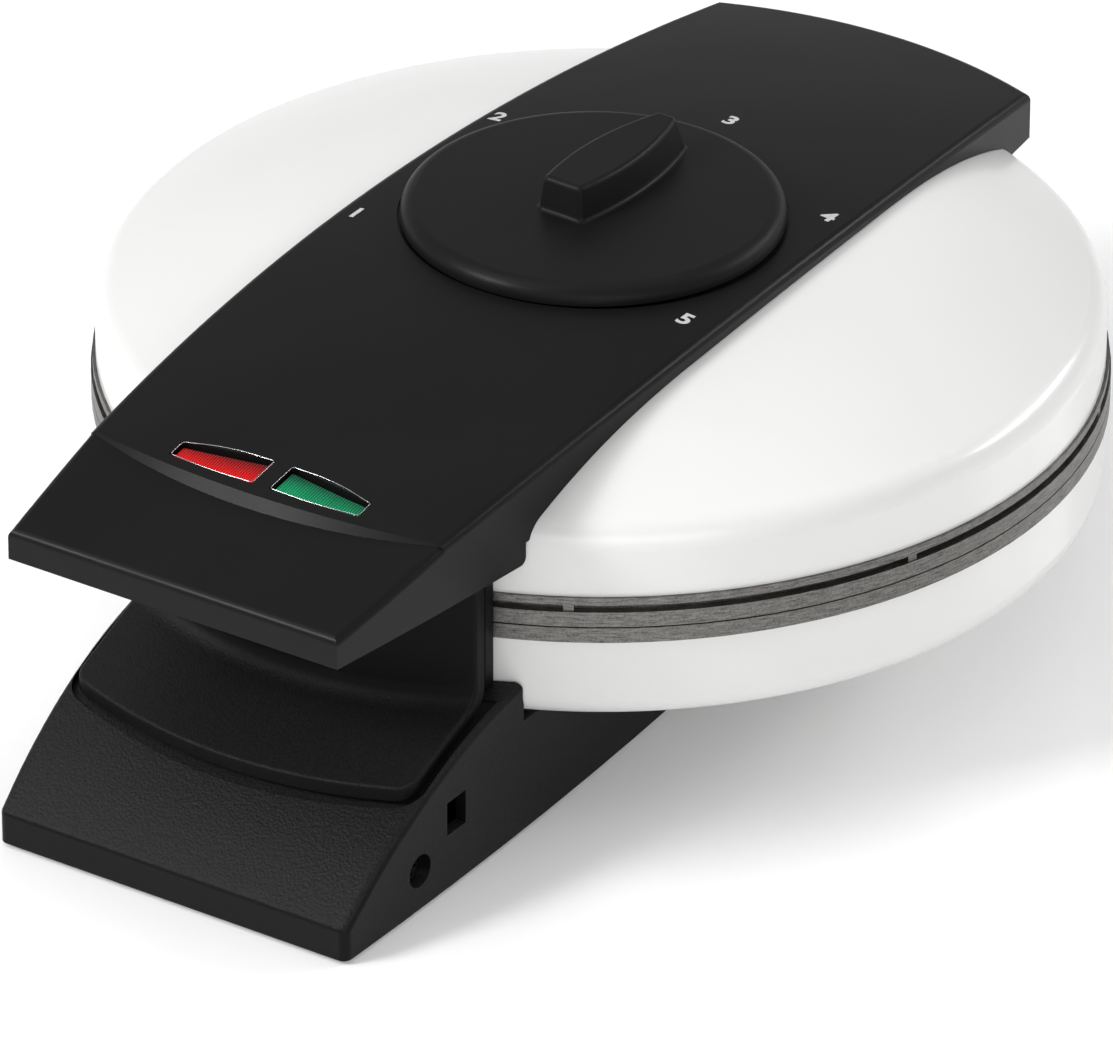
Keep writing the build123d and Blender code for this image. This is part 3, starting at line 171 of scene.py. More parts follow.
def makeLeatherGrainPlastic(look):
    # ABS from an etched mould: pebbled like leather on top, fine and plain on its sides, with
    # painted shade: the upright faces are darker in colour than the top
    material, tree, bsdf, place = newMaterial(look["name"], {
        "IOR": 1.5, "Specular IOR Level": look["specular"],
    })
    facing = addNode(
        tree, "ShaderNodeSeparateXYZ", {}, {"Vector": place.node.outputs["Normal"]},
    )
    limits = look["smoothShadedBelow"], look["grainLitAbove"]
    grainAndLitShare = addRange(tree, facing.outputs["Z"], limits, (0.0, 1.0))
    pebbles = addNode(
        tree, "ShaderNodeTexVoronoi",
        {"feature": "SMOOTH_F1", "Scale": 1 / (look["pebbleMm"] * mm), "Smoothness": 0.5},
        {"Vector": place},
    )
    fineScale = look["finePerPebble"] / (look["pebbleMm"] * mm)
    fine = addNoise(tree, place, scale=fineScale, detail=4.0, roughness=0.65)
    relief = addMath(tree, "SUBTRACT", fine, pebbles.outputs["Distance"])
    share = addRange(tree, grainAndLitShare, (0.0, 1.0), (look["sideDepth"], 1.0))
    height = addMath(tree, "MULTIPLY", relief, share)
    setRelief(tree, bsdf, height, strength=0.9, depthMm=look["pebbleDepthMm"])
    tone = blendTones(tree, fine, look, low=0.35, high=0.65)
    # painted shade: the upright faces take the darker side colour, the top keeps the grain's
    # lighter tones
    sideShadeMix = addNode(
        tree, "ShaderNodeMixRGB", {"Color1": linearColour(look["side"])},
        {"Fac": grainAndLitShare, "Color2": tone},
    )
    tree.links.new(sideShadeMix.outputs[0], bsdf.inputs["Base Color"])
    setSheen(tree, bsdf, fine, look)
    return material


def makeTurnedAluminium(look):
    # cast aluminium turned round its rim: dull grey with fine streaks round the axis
    material, tree, bsdf, place = newMaterial(look["name"], {"Metallic": 1.0})
    parts = addNode(tree, "ShaderNodeSeparateXYZ", {}, {"Vector": place})
    fromAxis = addMath(tree, "SUBTRACT", parts.outputs["Y"], axisY)
    angle = addMath(tree, "ARCTAN2", parts.outputs["X"], fromAxis)
    squareX = addMath(tree, "POWER", parts.outputs["X"], 2.0)
    square = addMath(tree, "MULTIPLY_ADD", fromAxis, fromAxis, squareX)
    radius = addMath(tree, "SQRT", square)
    # level changes along the rim's side and across its face, so both get their lines
    level = addMath(tree, "ADD", radius, parts.outputs["Z"])
    turned = addNode(tree, "ShaderNodeCombineXYZ", {}, {"X": angle, "Y": level})
    stretch = addNode(
        tree, "ShaderNodeMapping",
        {"Scale": (look["streaksPerTurn"] / math.tau, 1 / (look["lineMm"] * mm), 1.0)},
        {"Vector": turned.outputs[0]},
    )
    streaks = addNoise(tree, stretch.outputs[0], scale=1.0, detail=6.0, roughness=0.75)
    grit = addNoise(tree, place, scale=1 / (look["gritMm"] * mm), detail=3.0)
    pattern = addMath(tree, "MULTIPLY_ADD", grit, look["gritShare"], streaks)
    setColour(tree, bsdf, pattern, look, low=0.52, high=0.92)
    setSheen(tree, bsdf, grit, look)
    setRelief(tree, bsdf, pattern, strength=0.6, depthMm=look["lineDepthMm"])
    return material


def makePlatedSteel(look):
    # plated or scaled steel: metal with a slow change of tone and fine scratches
    material, tree, bsdf, place = newMaterial(look["name"], {"Metallic": 1.0})
    cloud = addNoise(tree, place, scale=120.0, detail=4.0)
    setColour(tree, bsdf, cloud, look)
    setSheen(tree, bsdf, cloud, look)
    scratches = addNoise(tree, place, scale=1 / (look["scratchMm"] * mm), detail=4.0)
    setRelief(tree, bsdf, scratches, strength=0.3, depthMm=0.01)
    return material


def makeClearStyrene(look):
    # clear coloured styrene: deep colour, glossy, lit a little by the pale lamp below
    material, tree, bsdf, place = newMaterial(look["name"], {
        "IOR": 1.58, "Roughness": 0.14, "Transmission Weight": look["clear"],
        "Emission Color": linearColour(look["light"]),
    })
    # painted shade: the lamp's light and the colour fade towards the window's rear edge, where the
    # window's rear wall shades the lens
    parts = addNode(tree, "ShaderNodeSeparateXYZ", {}, {"Vector": place})
    paintedShadeSpan = look["paintedShadeY"] * mm, look["unshadedY"] * mm
    share = addRange(tree, parts.outputs["Y"], paintedShadeSpan, (0.0, 1.0))
    glow = addMath(tree, "MULTIPLY", share, look["glow"])
    tree.links.new(glow, bsdf.inputs["Emission Strength"])
    cloud = addNoise(tree, place, scale=160.0, detail=2.0)
    pattern = addMath(tree, "MULTIPLY_ADD", cloud, look["cloudShare"], share)
    setColour(tree, bsdf, pattern, look, low=0.2, high=1.0)
    return material


finishes = {
    "housing": (makeLeatherGrainPlastic, {
        # the side colour is painted shade on the upright faces
        "name": "leatherGrainAbs", "dark": "#171718", "light": "#232324", "side": "#0d0d0e",
        "specular": 0.11, "low": 0.36, "high": 0.5,
        "pebbleMm": 0.65, "pebbleDepthMm": 0.13,  # the etched grain, as coarse as it shows
        "finePerPebble": 1.4,
        "sideDepth": 0.15, "smoothShadedBelow": 0.35, "grainLitAbove": 0.6,
    }),
    "latch": (makeLeatherGrainPlastic, {
        # the side colour is painted shade on the upright faces
        "name": "fineLeatherGrainAbs", "dark": "#161617", "light": "#222223", "side": "#0b0b0c",
        "specular": 0.09, "low": 0.4, "high": 0.52,
        "pebbleMm": 0.55, "pebbleDepthMm": 0.09,  # finer than the housing's grain
        "finePerPebble": 1.4,
        "sideDepth": 0.4, "smoothShadedBelow": 0.35, "grainLitAbove": 0.6,
    }),
    "cover": (makeMouldedPlastic, {
        "name": "plainMouldedAbs", "dark": "#111112", "light": "#151516",
        "specular": 0.1, "low": 0.48, "high": 0.56, "grainMm": 0.4, "grainDepthMm": 0.015,
    }),
    "band": (makeMouldedPlastic, {
        "name": "satinPolypropylene", "dark": "#0f0f10", "light": "#131314",
        "specular": 0.12, "low": 0.34, "high": 0.4, "grainMm": 0.35, "grainDepthMm": 0.014,
    }),
    "knob": (makeMouldedPlastic, {
        "name": "softTouchPolyamide", "dark": "#121213", "light": "#161617",
        "specular": 0.12, "low": 0.38, "high": 0.46, "grainMm": 0.5, "grainDepthMm": 0.02,
    }),
    "enamel": (makeStovedEnamel, {
        "name": "stovedWhiteEnamel", "dark": "#e4e4e3", "light": "#e9e9e8",
        "roughness": 0.3, "coat": 0.35, "peelMm": 2.2, "peelDepthMm": 0.004,
    }),
    "plate": (makeTurnedAluminium, {
        "name": "turnedCastAluminium", "dark": "#403f3e", "light": "#8e8c89",
        "streaksPerTurn": 160, "lineMm": 0.4, "lineDepthMm": 0.04,  # coarser than the real feed
        "gritMm": 0.45, "gritShare": 0.45, "low": 0.36, "high": 0.52,
    }),
    "element": (makePlatedSteel, {
        "name": "scaledHeaterSteel", "dark": "#4a4643", "light": "#5e5a56",
        "low": 0.42, "high": 0.58, "scratchMm": 0.4,
    }),
    "steel": (makePlatedSteel, {
        "name": "zincPlatedSteel", "dark": "#8f9091", "light": "#a9aaab",
        "low": 0.26, "high": 0.38, "scratchMm": 0.3,
    }),
    "bezel": (makePlatedSteel, {
        "name": "silverPlatedTrim", "dark": "#9d9ea0", "light": "#b6b7b9",
        "low": 0.14, "high": 0.22, "scratchMm": 0.3,
    }),
    "thermostat": (makeMouldedPlastic, {
        "name": "ceramicFilledPhenolic", "dark": "#b9b1a2", "light": "#c8c1b3",
        "specular": 0.5, "low": 0.55, "high": 0.65, "grainMm": 0.5, "grainDepthMm": 0.02,
    }),
    "terminal": (makeMouldedPlastic, {
        "name": "offWhiteNylon", "dark": "#d6d3c8", "light": "#dedbd1",
        "specular": 0.5, "low": 0.4, "high": 0.5, "grainMm": 0.5, "grainDepthMm": 0.012,
    }),
    "red": (makeClearStyrene, {
        "name": "redStyrene", "dark": "#5c0a10", "light": "#d8090b", "clear": 0.15,
        "cloudShare": 0.5, "glow": 0.24,
        # painted shade: the lens darkens from the first of these towards the window's rear edge
        "unshadedY": -107.5, "paintedShadeY": -99.0,  # millimetres in the frame
    }),
    "green": (makeClearStyrene, {
        "name": "greenStyrene", "dark": "#013a2c", "light": "#02a069", "clear": 0.15,
        # painted shade towards the window's rear edge, as for the red lens
        "cloudShare": 0.5, "glow": 0.14, "unshadedY": -107.5, "paintedShadeY": -99.0,
    }),
    "board": (makeMouldedPlastic, {
        "name": "phenolicPaperBoard", "dark": "#8a6b38", "light": "#9b7a43",
        "specular": 0.5, "low": 0.5, "high": 0.6, "grainMm": 0.6, "grainDepthMm": 0.01,
    }),
    "darkSteel": (makePlatedSteel, {
        "name": "blackZincSteel", "dark": "#4a4a4b", "light": "#5e5e5f",
        "low": 0.3, "high": 0.42, "scratchMm": 0.3,
    }),
    "lamp": (makeClearStyrene, {
        "name": "neonLampGlass", "dark": "#e0a080", "light": "#f0c0a0", "clear": 0.6,
        # painted shade towards the window's rear edge, as for the lenses
        "cloudShare": 0.5, "glow": 0.05, "unshadedY": -107.5, "paintedShadeY": -99.0,
    }),
    "foot": (makeMouldedPlastic, {
        "name": "mouldedRubber", "dark": "#1b1b1b", "light": "#222222",
        "specular": 0.3, "low": 0.7, "high": 0.8, "grainMm": 0.3, "grainDepthMm": 0.015,
    }),
}
materials = {slot: maker(look) for slot, (maker, look) in finishes.items()}
for part in frame["record"]["subparts"]:
    mesh = nodes[part["node"]].data
    mesh.materials.clear()
    mesh.materials.append(materials[part["material_slot"]])
nodes["latch_lever"].data.materials[0] = materials["latch"]
print("materials:", len(materials))


# Screws, lens ribs and window lines

def plainMesh(source):
    # the evaluated curve, text or dressed points as a plain mesh; the source goes
    bpy.context.scene.collection.objects.link(source)
    bpy.context.view_layer.update()
    graph = bpy.context.evaluated_depsgraph_get()
    mesh = bpy.data.meshes.new_from_object(source.evaluated_get(graph))
    bpy.data.objects.remove(source)
    return mesh


def placePiece(name, mesh, material, body):
    # a finished piece: one material, riding on its body
    mesh.name = name
    mesh.materials.clear()
    mesh.materials.append(material)
    piece = bpy.data.objects.new(name, mesh)
    bpy.context.scene.collection.objects.link(piece)
    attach(piece, body)
    return piece


def newTree(name, inputs):
    # geometry tree with named inputs, its input node and its output node
    tree = bpy.data.node_groups.new(name, "GeometryNodeTree")
    tree.interface.new_socket("Geometry", in_out="INPUT", socket_type="NodeSocketGeometry")
    for label, kind in inputs.items():
        tree.interface.new_socket(label, in_out="INPUT", socket_type="NodeSocket" + kind)
    tree.interface.new_socket("Geometry", in_out="OUTPUT", socket_type="NodeSocketGeometry")
    return tree, addNode(tree, "NodeGroupInput"), addNode(tree, "NodeGroupOutput")


def dressPoints(name, tree, values, points, vectors, body):
    # points with one vector each, dressed by the tree and turned into a plain mesh piece
    cloud = bpy.data.meshes.new(name + "Points")
    cloud.from_pydata([tuple(point) for point in points], [], [])
    attribute = cloud.attributes.new("pointVector", "FLOAT_VECTOR", "POINT")
    for item, vector in zip(attribute.data, vectors):
        item.vector = vector
    source = bpy.data.objects.new(name + "Points", cloud)
    modifier = source.modifiers.new(tree.name, "NODES")
    modifier.node_group = tree
    for item in tree.interface.items_tree:
        if item.in_out == "INPUT" and item.name in values:
            modifier[item.identifier] = values[item.name]
    mesh = plainMesh(source)
    mesh.shade_smooth()
    mesh.set_sharp_from_angle(angle=sharpAngle)
    return placePiece(name, mesh, values["Material"], body)


def placeOnPoints(tree, given, result, shape, links):
    # the shape on every point, as plain geometry in the piece's material
    placed = addNode(
        tree, "GeometryNodeInstanceOnPoints", {},
        {"Points": given.outputs["Geometry"], "Instance": shape, **links},
    )
    real = addNode(tree, "GeometryNodeRealizeInstances", {}, {"Geometry": placed.outputs[0]})
    painted = addNode(
        tree, "GeometryNodeSetMaterial", {},
        {"Geometry": real.outputs[0], "Material": given.outputs["Material"]},
    )
    tree.links.new(painted.outputs[0], result.inputs[0])


def addPointVector(tree):
    # the vector that dressPoints stored on each point
    return addNode(
        tree, "GeometryNodeInputNamedAttribute",
        {"data_type": "FLOAT_VECTOR", "Name": "pointVector"},
    ).outputs[0]


def makeScrewTree():
    # cross-head screw on every point: the point is the middle of the head's top
    tree, given, result = newTree("crossHeadScrew", {
        "Head Radius": "Float", "Head Height": "Float", "Crown": "Float",
        "Shank Radius": "Float", "Shank Length": "Float",
        "Cross Length": "Float", "Cross Width": "Float", "Cross Depth": "Float",
        "Material": "Material",
    })
    head = addNode(
        tree, "GeometryNodeMeshCylinder",
        {"fill_type": "TRIANGLE_FAN", "Vertices": 32, "Side Segments": 2, "Fill Segments": 5},
        {"Radius": given.outputs["Head Radius"], "Depth": given.outputs["Head Height"]},
    )
    # the head sinks by half its height, and its crown falls away towards the edge
    place = addNode(tree, "GeometryNodeInputPosition")
    flat = addNode(
        tree, "ShaderNodeVectorMath", {"operation": "MULTIPLY", 1: (1.0, 1.0, 0.0)},
        {0: place.outputs[0]},
    )
    reach = addNode(tree, "ShaderNodeVectorMath", {"operation": "LENGTH"}, {0: flat.outputs[0]})
    share = addMath(tree, "DIVIDE", reach.outputs["Value"], given.outputs["Head Radius"])
    steep = addMath(tree, "POWER", share, 4.0)
    fall = addMath(tree, "MULTIPLY", steep, given.outputs["Crown"])
    half = addMath(tree, "MULTIPLY", given.outputs["Head Height"], -0.5)
    lower = addMath(tree, "SUBTRACT", half, fall)
    parts = addNode(tree, "ShaderNodeSeparateXYZ", {}, {"Vector": place.outputs[0]})
    isTop = addMath(tree, "GREATER_THAN", parts.outputs["Z"], 0.0)
    shift = addNode(
        tree, "GeometryNodeSwitch", {"input_type": "FLOAT"},
        {"Switch": isTop, "False": half, "True": lower},
    )
    offset = addNode(tree, "ShaderNodeCombineXYZ", {}, {"Z": shift.outputs[0]})
    crowned = addNode(
        tree, "GeometryNodeSetPosition", {},
        {"Geometry": head.outputs["Mesh"], "Offset": offset.outputs[0]},
    )
    # a blade half above the head cuts the cross, once each way
    bladeHeight = addMath(tree, "MULTIPLY", given.outputs["Cross Depth"], 2.0)
    bladeSize = addNode(
        tree, "ShaderNodeCombineXYZ", {}, {
            "X": given.outputs["Cross Length"], "Y": given.outputs["Cross Width"],
            "Z": bladeHeight,
        },
    )
    blade = addNode(tree, "GeometryNodeMeshCube", {}, {"Size": bladeSize.outputs[0]})
    turnedBlade = addNode(
        tree, "GeometryNodeTransform", {"Rotation": (0.0, 0.0, math.pi / 2)},
        {"Geometry": blade.outputs["Mesh"]},
    )
    slotted = crowned.outputs[0]
    for cutter in (blade.outputs["Mesh"], turnedBlade.outputs[0]):
        slotted = addNode(
            tree, "GeometryNodeMeshBoolean", {"operation": "DIFFERENCE"},
            {"Mesh 1": slotted, "Mesh 2": cutter},
        ).outputs["Mesh"]
    shank = addNode(
        tree, "GeometryNodeMeshCylinder", {"Vertices": 24},
        {"Radius": given.outputs["Shank Radius"], "Depth": given.outputs["Shank Length"]},
    )
    shankMiddle = addMath(
        tree, "MULTIPLY_ADD", given.outputs["Shank Length"], 0.5, given.outputs["Head Height"],
    )
    shankDown = addMath(tree, "MULTIPLY", shankMiddle, -1.0)
    shankPlace = addNode(tree, "ShaderNodeCombineXYZ", {}, {"Z": shankDown})
    shankSet = addNode(
        tree, "GeometryNodeTransform", {},
        {"Geometry": shank.outputs["Mesh"], "Translation": shankPlace.outputs[0]},
    )
    screw = addNode(tree, "GeometryNodeJoinGeometry", {}, {0: slotted})
    tree.links.new(shankSet.outputs[0], screw.inputs[0])
    turn = addNode(
        tree, "FunctionNodeAlignRotationToVector", {"axis": "Z"}, {"Vector": addPointVector(tree)},
    )
    placeOnPoints(tree, given, result, screw.outputs[0], {"Rotation": turn.outputs[0]})
    return tree


screwForm = {"headHeight": 1.5, "crown": 0.35, "shankRadius": 1.5}  # millimetres
screws = {
    # millimetres; each place is the middle of a head's top, with the way that it faces
    "sideCrossScrews": {
        "replaces": "side_screws", "body": "base", "headRadius": 3.5, "shankLength": 9.0,
        "crossLength": 3.8, "crossWidth": 0.85, "crossDepth": 1.1, "finish": "darkSteel",
        "places": [((42.05, -115.3, 10.1), (1, 0, 0)), ((-42.05, -115.3, 10.1), (-1, 0, 0))],
    },
    "undercoverCrossScrews": {
        "replaces": "undercover_screws", "body": "lid", "headRadius": 2.9, "shankLength": 5.0,
        "crossLength": 3.2, "crossWidth": 0.75, "crossDepth": 1.0, "finish": "steel",
        "places": [
            ((-35, -109.5, 66.81), (0, 0, -1)), ((35, -109.5, 66.81), (0, 0, -1)),
            ((-33, -129.5, 67.89), (0, 0, -1)), ((33, -129.5, 67.89), (0, 0, -1)),
        ],
    },
    "baseCrossScrews": {
        "replaces": "base_screws", "body": "base", "headRadius": 2.9, "shankLength": 12.0,
        "crossLength": 3.2, "crossWidth": 0.75, "crossDepth": 1.0, "finish": "steel",
        "places": [
            ((-33, -83.5, 1.0), (0, 0, -1)), ((33, -83.5, 1.0), (0, 0, -1)),
            ((-26, 90.5, 1.0), (0, 0, -1)), ((26, 90.5, 1.0), (0, 0, -1)),
        ],
    },
}
screwTree = makeScrewTree()
for name, screw in screws.items():
    sizes = {
        "Head Radius": screw["headRadius"] * mm, "Head Height": screwForm["headHeight"] * mm,
        "Crown": screwForm["crown"] * mm, "Shank Radius": screwForm["shankRadius"] * mm,
        "Shank Length": screw["shankLength"] * mm,
        "Cross Length": screw["crossLength"] * mm, "Cross Width": screw["crossWidth"] * mm,
        "Cross Depth": screw["crossDepth"] * mm, "Material": materials[screw["finish"]],
    }
    points = [Vector(place) * mm for place, facing in screw["places"]]
    facings = [facing for place, facing in screw["places"]]
    piece = dressPoints(name, screwTree, sizes, points, facings, screw["body"])
    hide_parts(screw["replaces"])
print("screws made")

# the band's top follows an arch along the machine, with a slight crown across it
bandTop = {"height": 90.5, "peakY": -13.0, "archRadius": 880.0, "crownRadius": 632.0}


def bandPoint(x, y, depth=0.0):
    # point under the band's top and the normal there; millimetres from the body's axis
    radius = bandTop["archRadius"] - x * x / (2 * bandTop["crownRadius"])
    along = y - bandTop["peakY"]
    z = bandTop["height"] - bandTop["archRadius"] + math.sqrt(radius ** 2 - along ** 2)
    normal = Vector((x / bandTop["crownRadius"], along / bandTop["archRadius"], 1.0)).normalized()
    return Vector((x * mm, y * mm + axisY, (z - depth) * mm)), normal


def makeRibTree():
    # a round rib on every point, as long as the point's vector says
    tree, given, result = newTree("lensRibs", {
        "Radius": "Float", "Tilt": "Float", "Material": "Material",
    })
    rib = addNode(
        tree, "GeometryNodeMeshCylinder", {"Vertices": 10, "Depth": 1.0},
        {"Radius": given.outputs["Radius"]},
    )
    lying = addNode(
        tree, "GeometryNodeTransform", {"Rotation": (math.pi / 2, 0.0, 0.0)},
        {"Geometry": rib.outputs["Mesh"]},
    )
    tilt = addNode(tree, "ShaderNodeCombineXYZ", {}, {"X": given.outputs["Tilt"]})
    placeOnPoints(
        tree, given, result, lying.outputs[0],
        {"Rotation": tilt.outputs[0], "Scale": addPointVector(tree)},
    )
    return tree


lensRibs = {
    # millimetres; the windows taper from the band's middle outwards
    "pitch": 0.62, "radius": 0.27, "depth": 1.22,
    "innerX": 2.9, "outerX": 22.5,
    "innerFront": -126.6, "outerFront": -125.8, "innerRear": -119.9, "outerRear": -122.4,
}
ribTree = makeRibTree()
ribCount = int((lensRibs["outerX"] - lensRibs["innerX"]) / lensRibs["pitch"]) + 1
for side, slot in ((-1, "red"), (1, "green")):
    points = []
    scales = []
    for index in range(ribCount):
        share = index / (ribCount - 1)
        x, front, rear = [
            lensRibs["inner" + edge] * (1 - share) + lensRibs["outer" + edge] * share
            for edge in ("X", "Front", "Rear")
        ]
        spot, normal = bandPoint(side * x, (front + rear) / 2, lensRibs["depth"])
        points.append(spot)
        scales.append((1.0, (rear - front) * mm, 1.0))
    sizes = {
        "Radius": lensRibs["radius"] * mm, "Tilt": math.atan2(-normal.y, normal.z),
        "Material": materials[slot],
    }
    dressPoints(slot + "LensRibs", ribTree, sizes, points, scales, "lid")
print("lens ribs made")

windowTrim = {
    # millimetres from the body's axis: corners of the green lamp's window, front edge first
    "corners": [(1.9, -127.6), (23.5, -126.6), (23.5, -121.2), (1.9, -118.5)],
    "inset": 0.3, "corner": 1.8, "wire": 0.12, "depth": 0.08,
    "bows": (0.5, 0.0, -0.8, 0.0),  # how far each edge's middle moves towards the handle's lip
    "bowShares": (0.3, 0.5, 0.7),
}


def makeWindowTrim(name, side, look):
    # thin plated line round a window: round corners, front and rear edges bowed outwards
    count = len(look["corners"])
    middleX, middleY = [sum(values) / count for values in zip(*look["corners"])]
    inset = look["inset"]
    corners = []
    for x, y in look["corners"]:
        insetX = x - math.copysign(inset, x - middleX)
        insetY = y - math.copysign(inset, y - middleY)
        corners.append(Vector((insetX, insetY)))
    points = []
    for start, end, bow in zip(corners, corners[1:] + corners[:1], look["bows"]):
        step = (end - start).normalized() * look["corner"]
        points += [start, start + step]
        for share in look["bowShares"]:
            out = Vector((0, bow * 4 * share * (1 - share)))  # a shallow arc, fullest halfway
            points.append(start + (end - start) * share - out)
        points.append(end - step)
    curve = bpy.data.curves.new(name, "CURVE")
    curve.dimensions = "3D"
    curve.bevel_depth = look["wire"] * mm
    curve.bevel_resolution = 2
    spline = curve.splines.new("NURBS")
    spline.points.add(len(points) - 1)
    for item, (x, y) in zip(spline.points, points):
        item.co = (*bandPoint(side * x, y, look["depth"])[0], 1.0)
    spline.use_cyclic_u = True
    spline.order_u = 3
    mesh = plainMesh(bpy.data.objects.new(name, curve))
    mesh.shade_smooth()
    piece = placePiece(name, mesh, materials["bezel"], "lid")
    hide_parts("window_bezels")


makeWindowTrim("redWindowTrim", -1, windowTrim)
makeWindowTrim("greenWindowTrim", 1, windowTrim)
print("window lines made")


# Digits of the dial

dialDigits = {
    # millimetres from the body's axis; they read from the handle's side
    "places": {
        "1": (-43.0, -28.8), "2": (-42.5, 24.9), "3": (0.0, 51.0),
        "4": (40.8, 25.5), "5": (40.3, -30.0),
    },
    "height": 4.3,
    "wide": 1.1, "slant": 0.02, "bold": 0.03, "thick": 0.006,  # shares of the letter's size
    "dark": "#bdbdbd", "light": "#c9c9c9",
}


def makePadPrint(look):
    # thin pad-printed ink: pale grey and matt, a little uneven
    ink, tree, bsdf, place = newMaterial("greyPadPrint", {"Roughness": 0.5})
    speck = addNoise(tree, place, scale=1500.0, detail=2.0)
    setColour(tree, bsdf, speck, look)
    return ink


def makeDigit(digit, x, y, look, ink):
    # one printed digit, as thick as its ink, lying on the band's arch
    text = bpy.data.curves.new("digit" + digit, "FONT")
    text.body = digit
    text.offset = look["bold"]
    text.shear = look["slant"]
    text.extrude = look["thick"]
    mesh = plainMesh(bpy.data.objects.new("digit" + digit, text))
    xs = [vertex.co.x for vertex in mesh.vertices]
    ys = [vertex.co.y for vertex in mesh.vertices]
    scale = look["height"] * mm / (max(ys) - min(ys))
    middle = Vector(((max(xs) + min(xs)) / 2, (max(ys) + min(ys)) / 2, 0))
    spot, normal = bandPoint(x, y)
    across = Vector((0, 1, 0)).cross(normal).normalized()
    turn = Matrix((across, normal.cross(across), normal)).transposed().to_4x4()
    size = Matrix.Diagonal((scale * look["wide"], scale, scale, 1.0))
    mesh.transform(Matrix.Translation(spot) @ turn @ size @ Matrix.Translation(-middle))
    placePiece("dialDigit" + digit, mesh, ink, "lid")


padPrint = makePadPrint(dialDigits)
for digit, (x, y) in dialDigits["places"].items():
    makeDigit(digit, x, y, dialDigits, padPrint)
print("digits made")


# Floor, light and camera

stage = {
    "floor": "#fbfbfb",
    "floorSize": 20.0,
    "floorLift": 0.12,
    "cameraAzimuth": 33.18,
    "cameraElevation": 29.95,
    "cameraRoll": 0.07,
    "cameraDistance": 2446.7 * mm,
    "aim": (0.0, axisY, 70 * mm),      # point that stands at aimPixel in the picture
    "aimPixel": (600.8, 289.9),
    "imageSize": (1113, 1057),
    "focalPixels": 11525.0,
    "sensor": 36.0,                    # millimetres
    "clipEnd": 20.0,
    "worldHorizon": 0.8,
    "worldOverhead": 0.4,
    "horizonTop": 0.06,                # heights on a sky of radius 1, where the tone changes
    "overheadFrom": 0.25,
    "lampAim": (0.0, 0.0, 0.04),
}
softboxes = {
    "creaseSoftbox": {"place": (-0.94, -1.35, 1.15), "size": (0.5, 0.5), "power": 23.0},
    "keySoftbox": {"place": (-0.78, -0.5, 1.55), "size": (0.8, 0.8), "power": 4.0},
    "topSoftbox": {"place": (-0.1, 0.0, 1.9), "size": (2.2, 2.2), "power": 7.0},
    "rightSoftbox": {"place": (1.2, -1.5, 0.6), "size": (1.4, 1.0), "power": 9.0},
    "rearStrip": {"place": (1.1, 1.6, 1.0), "size": (1.4, 0.3), "power": 15.0},
}


def makeFloor(look):
    # cast acrylic table: white and smooth, with a soft mirror image near the feet
    mesh = bpy.data.meshes.new("floor")
    half = look["floorSize"] / 2
    corners = [(-half, -half, 0), (half, -half, 0), (half, half, 0), (-half, half, 0)]
    mesh.from_pydata(corners, [], [(0, 1, 2, 3)])
    floor = bpy.data.objects.new("floor", mesh)
    bpy.context.scene.collection.objects.link(floor)
    material, tree, bsdf, place = newMaterial("whiteAcrylicTable", {
        "Base Color": linearColour(look["floor"]), "Roughness": 0.18, "IOR": 1.49,
    })
    # camera and mirror rays see the table a little lighter, so that it stays white
    path = addNode(tree, "ShaderNodeLightPath")
    mirrored = addMath(
        tree, "MAXIMUM", path.outputs["Is Glossy Ray"], path.outputs["Is Transmission Ray"],
    )
    seen = addMath(tree, "MAXIMUM", path.outputs["Is Camera Ray"], mirrored)
    lift = addMath(tree, "MULTIPLY", seen, look["floorLift"])
    bsdf.inputs["Emission Color"].default_value = linearColour("#ffffff")
    tree.links.new(lift, bsdf.inputs["Emission Strength"])
    mesh.materials.append(material)


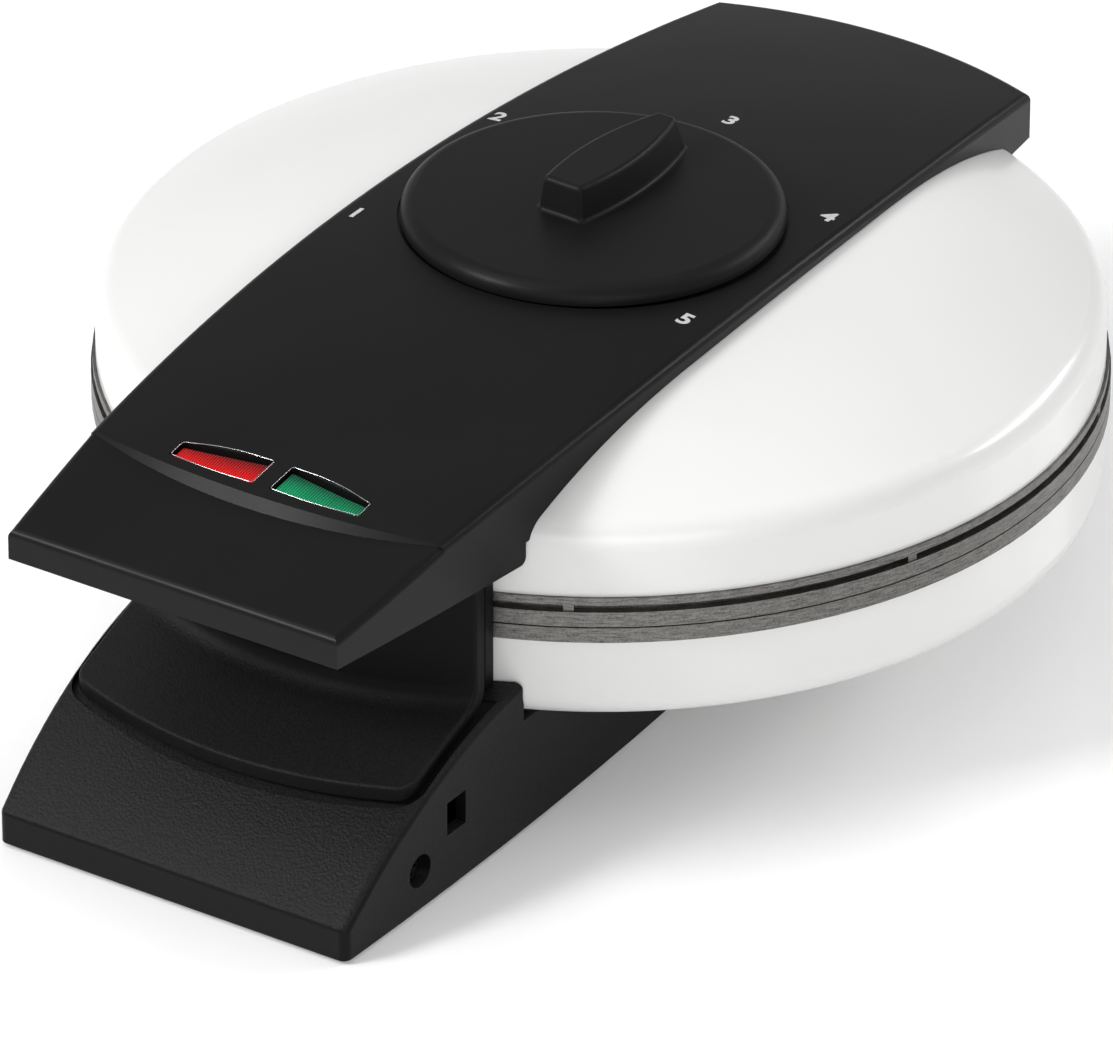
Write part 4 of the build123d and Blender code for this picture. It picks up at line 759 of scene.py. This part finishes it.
def makeSoftbox(name, box, aim):
    # a flat rectangular lamp that faces the aim
    lamp = bpy.data.lights.new(name, "AREA")
    lamp.shape = "RECTANGLE"
    lamp.size, lamp.size_y = box["size"]
    lamp.energy = box["power"]
    light = bpy.data.objects.new(name, lamp)
    light.location = box["place"]
    light.rotation_mode = "QUATERNION"
    light.rotation_quaternion = (Vector(aim) - Vector(box["place"])).to_track_quat("-Z", "Y")
    light.visible_camera = False  # the lamps stay out of every picture
    bpy.context.scene.collection.objects.link(light)


def makeCamera(look):
    # a long lens from the photograph's angle, framed like it
    azimuth = math.radians(look["cameraAzimuth"])
    elevation = math.radians(look["cameraElevation"])
    back = Vector((
        math.sin(azimuth) * math.cos(elevation),
        -math.cos(azimuth) * math.cos(elevation),
        math.sin(elevation),
    ))
    right = Vector((math.cos(azimuth), math.sin(azimuth), 0))
    up = back.cross(right)
    width, height = look["imageSize"]
    scale = look["cameraDistance"] / look["focalPixels"]
    offX = (look["aimPixel"][0] - width / 2) * scale
    offY = (look["aimPixel"][1] - height / 2) * scale
    eye = Vector(look["aim"]) + back * look["cameraDistance"] - right * offX + up * offY
    lens = bpy.data.cameras.new("camera")
    lens.sensor_width = look["sensor"]
    lens.lens = look["focalPixels"] * look["sensor"] / width
    lens.clip_end = look["clipEnd"]
    camera = bpy.data.objects.new("camera", lens)
    turn = Matrix((right, up, back)).transposed().to_4x4()
    roll = Matrix.Rotation(math.radians(look["cameraRoll"]), 4, "Z")
    camera.matrix_world = Matrix.Translation(eye) @ turn @ roll
    bpy.context.scene.collection.objects.link(camera)
    bpy.context.scene.camera = camera


def makeStudioWorld(look):
    # white round the horizon, dimmer overhead, where the softboxes hang
    world = bpy.data.worlds.new("paleStudio")
    world.use_nodes = True
    tree = world.node_tree
    way = addNode(tree, "ShaderNodeTexCoord").outputs["Generated"]
    parts = addNode(tree, "ShaderNodeSeparateXYZ", {}, {"Vector": way})
    strength = addRange(
        tree, parts.outputs["Z"], (look["horizonTop"], look["overheadFrom"]),
        (look["worldHorizon"], look["worldOverhead"]),
    )
    background = tree.nodes["Background"]
    background.inputs["Color"].default_value = linearColour("#ffffff")
    tree.links.new(strength, background.inputs["Strength"])
    bpy.context.scene.world = world


makeFloor(stage)
makeCamera(stage)
makeStudioWorld(stage)
for name, box in softboxes.items():
    makeSoftbox(name, box, stage["lampAim"])
bpy.context.scene.view_settings.view_transform = "Standard"
print("stage ready")
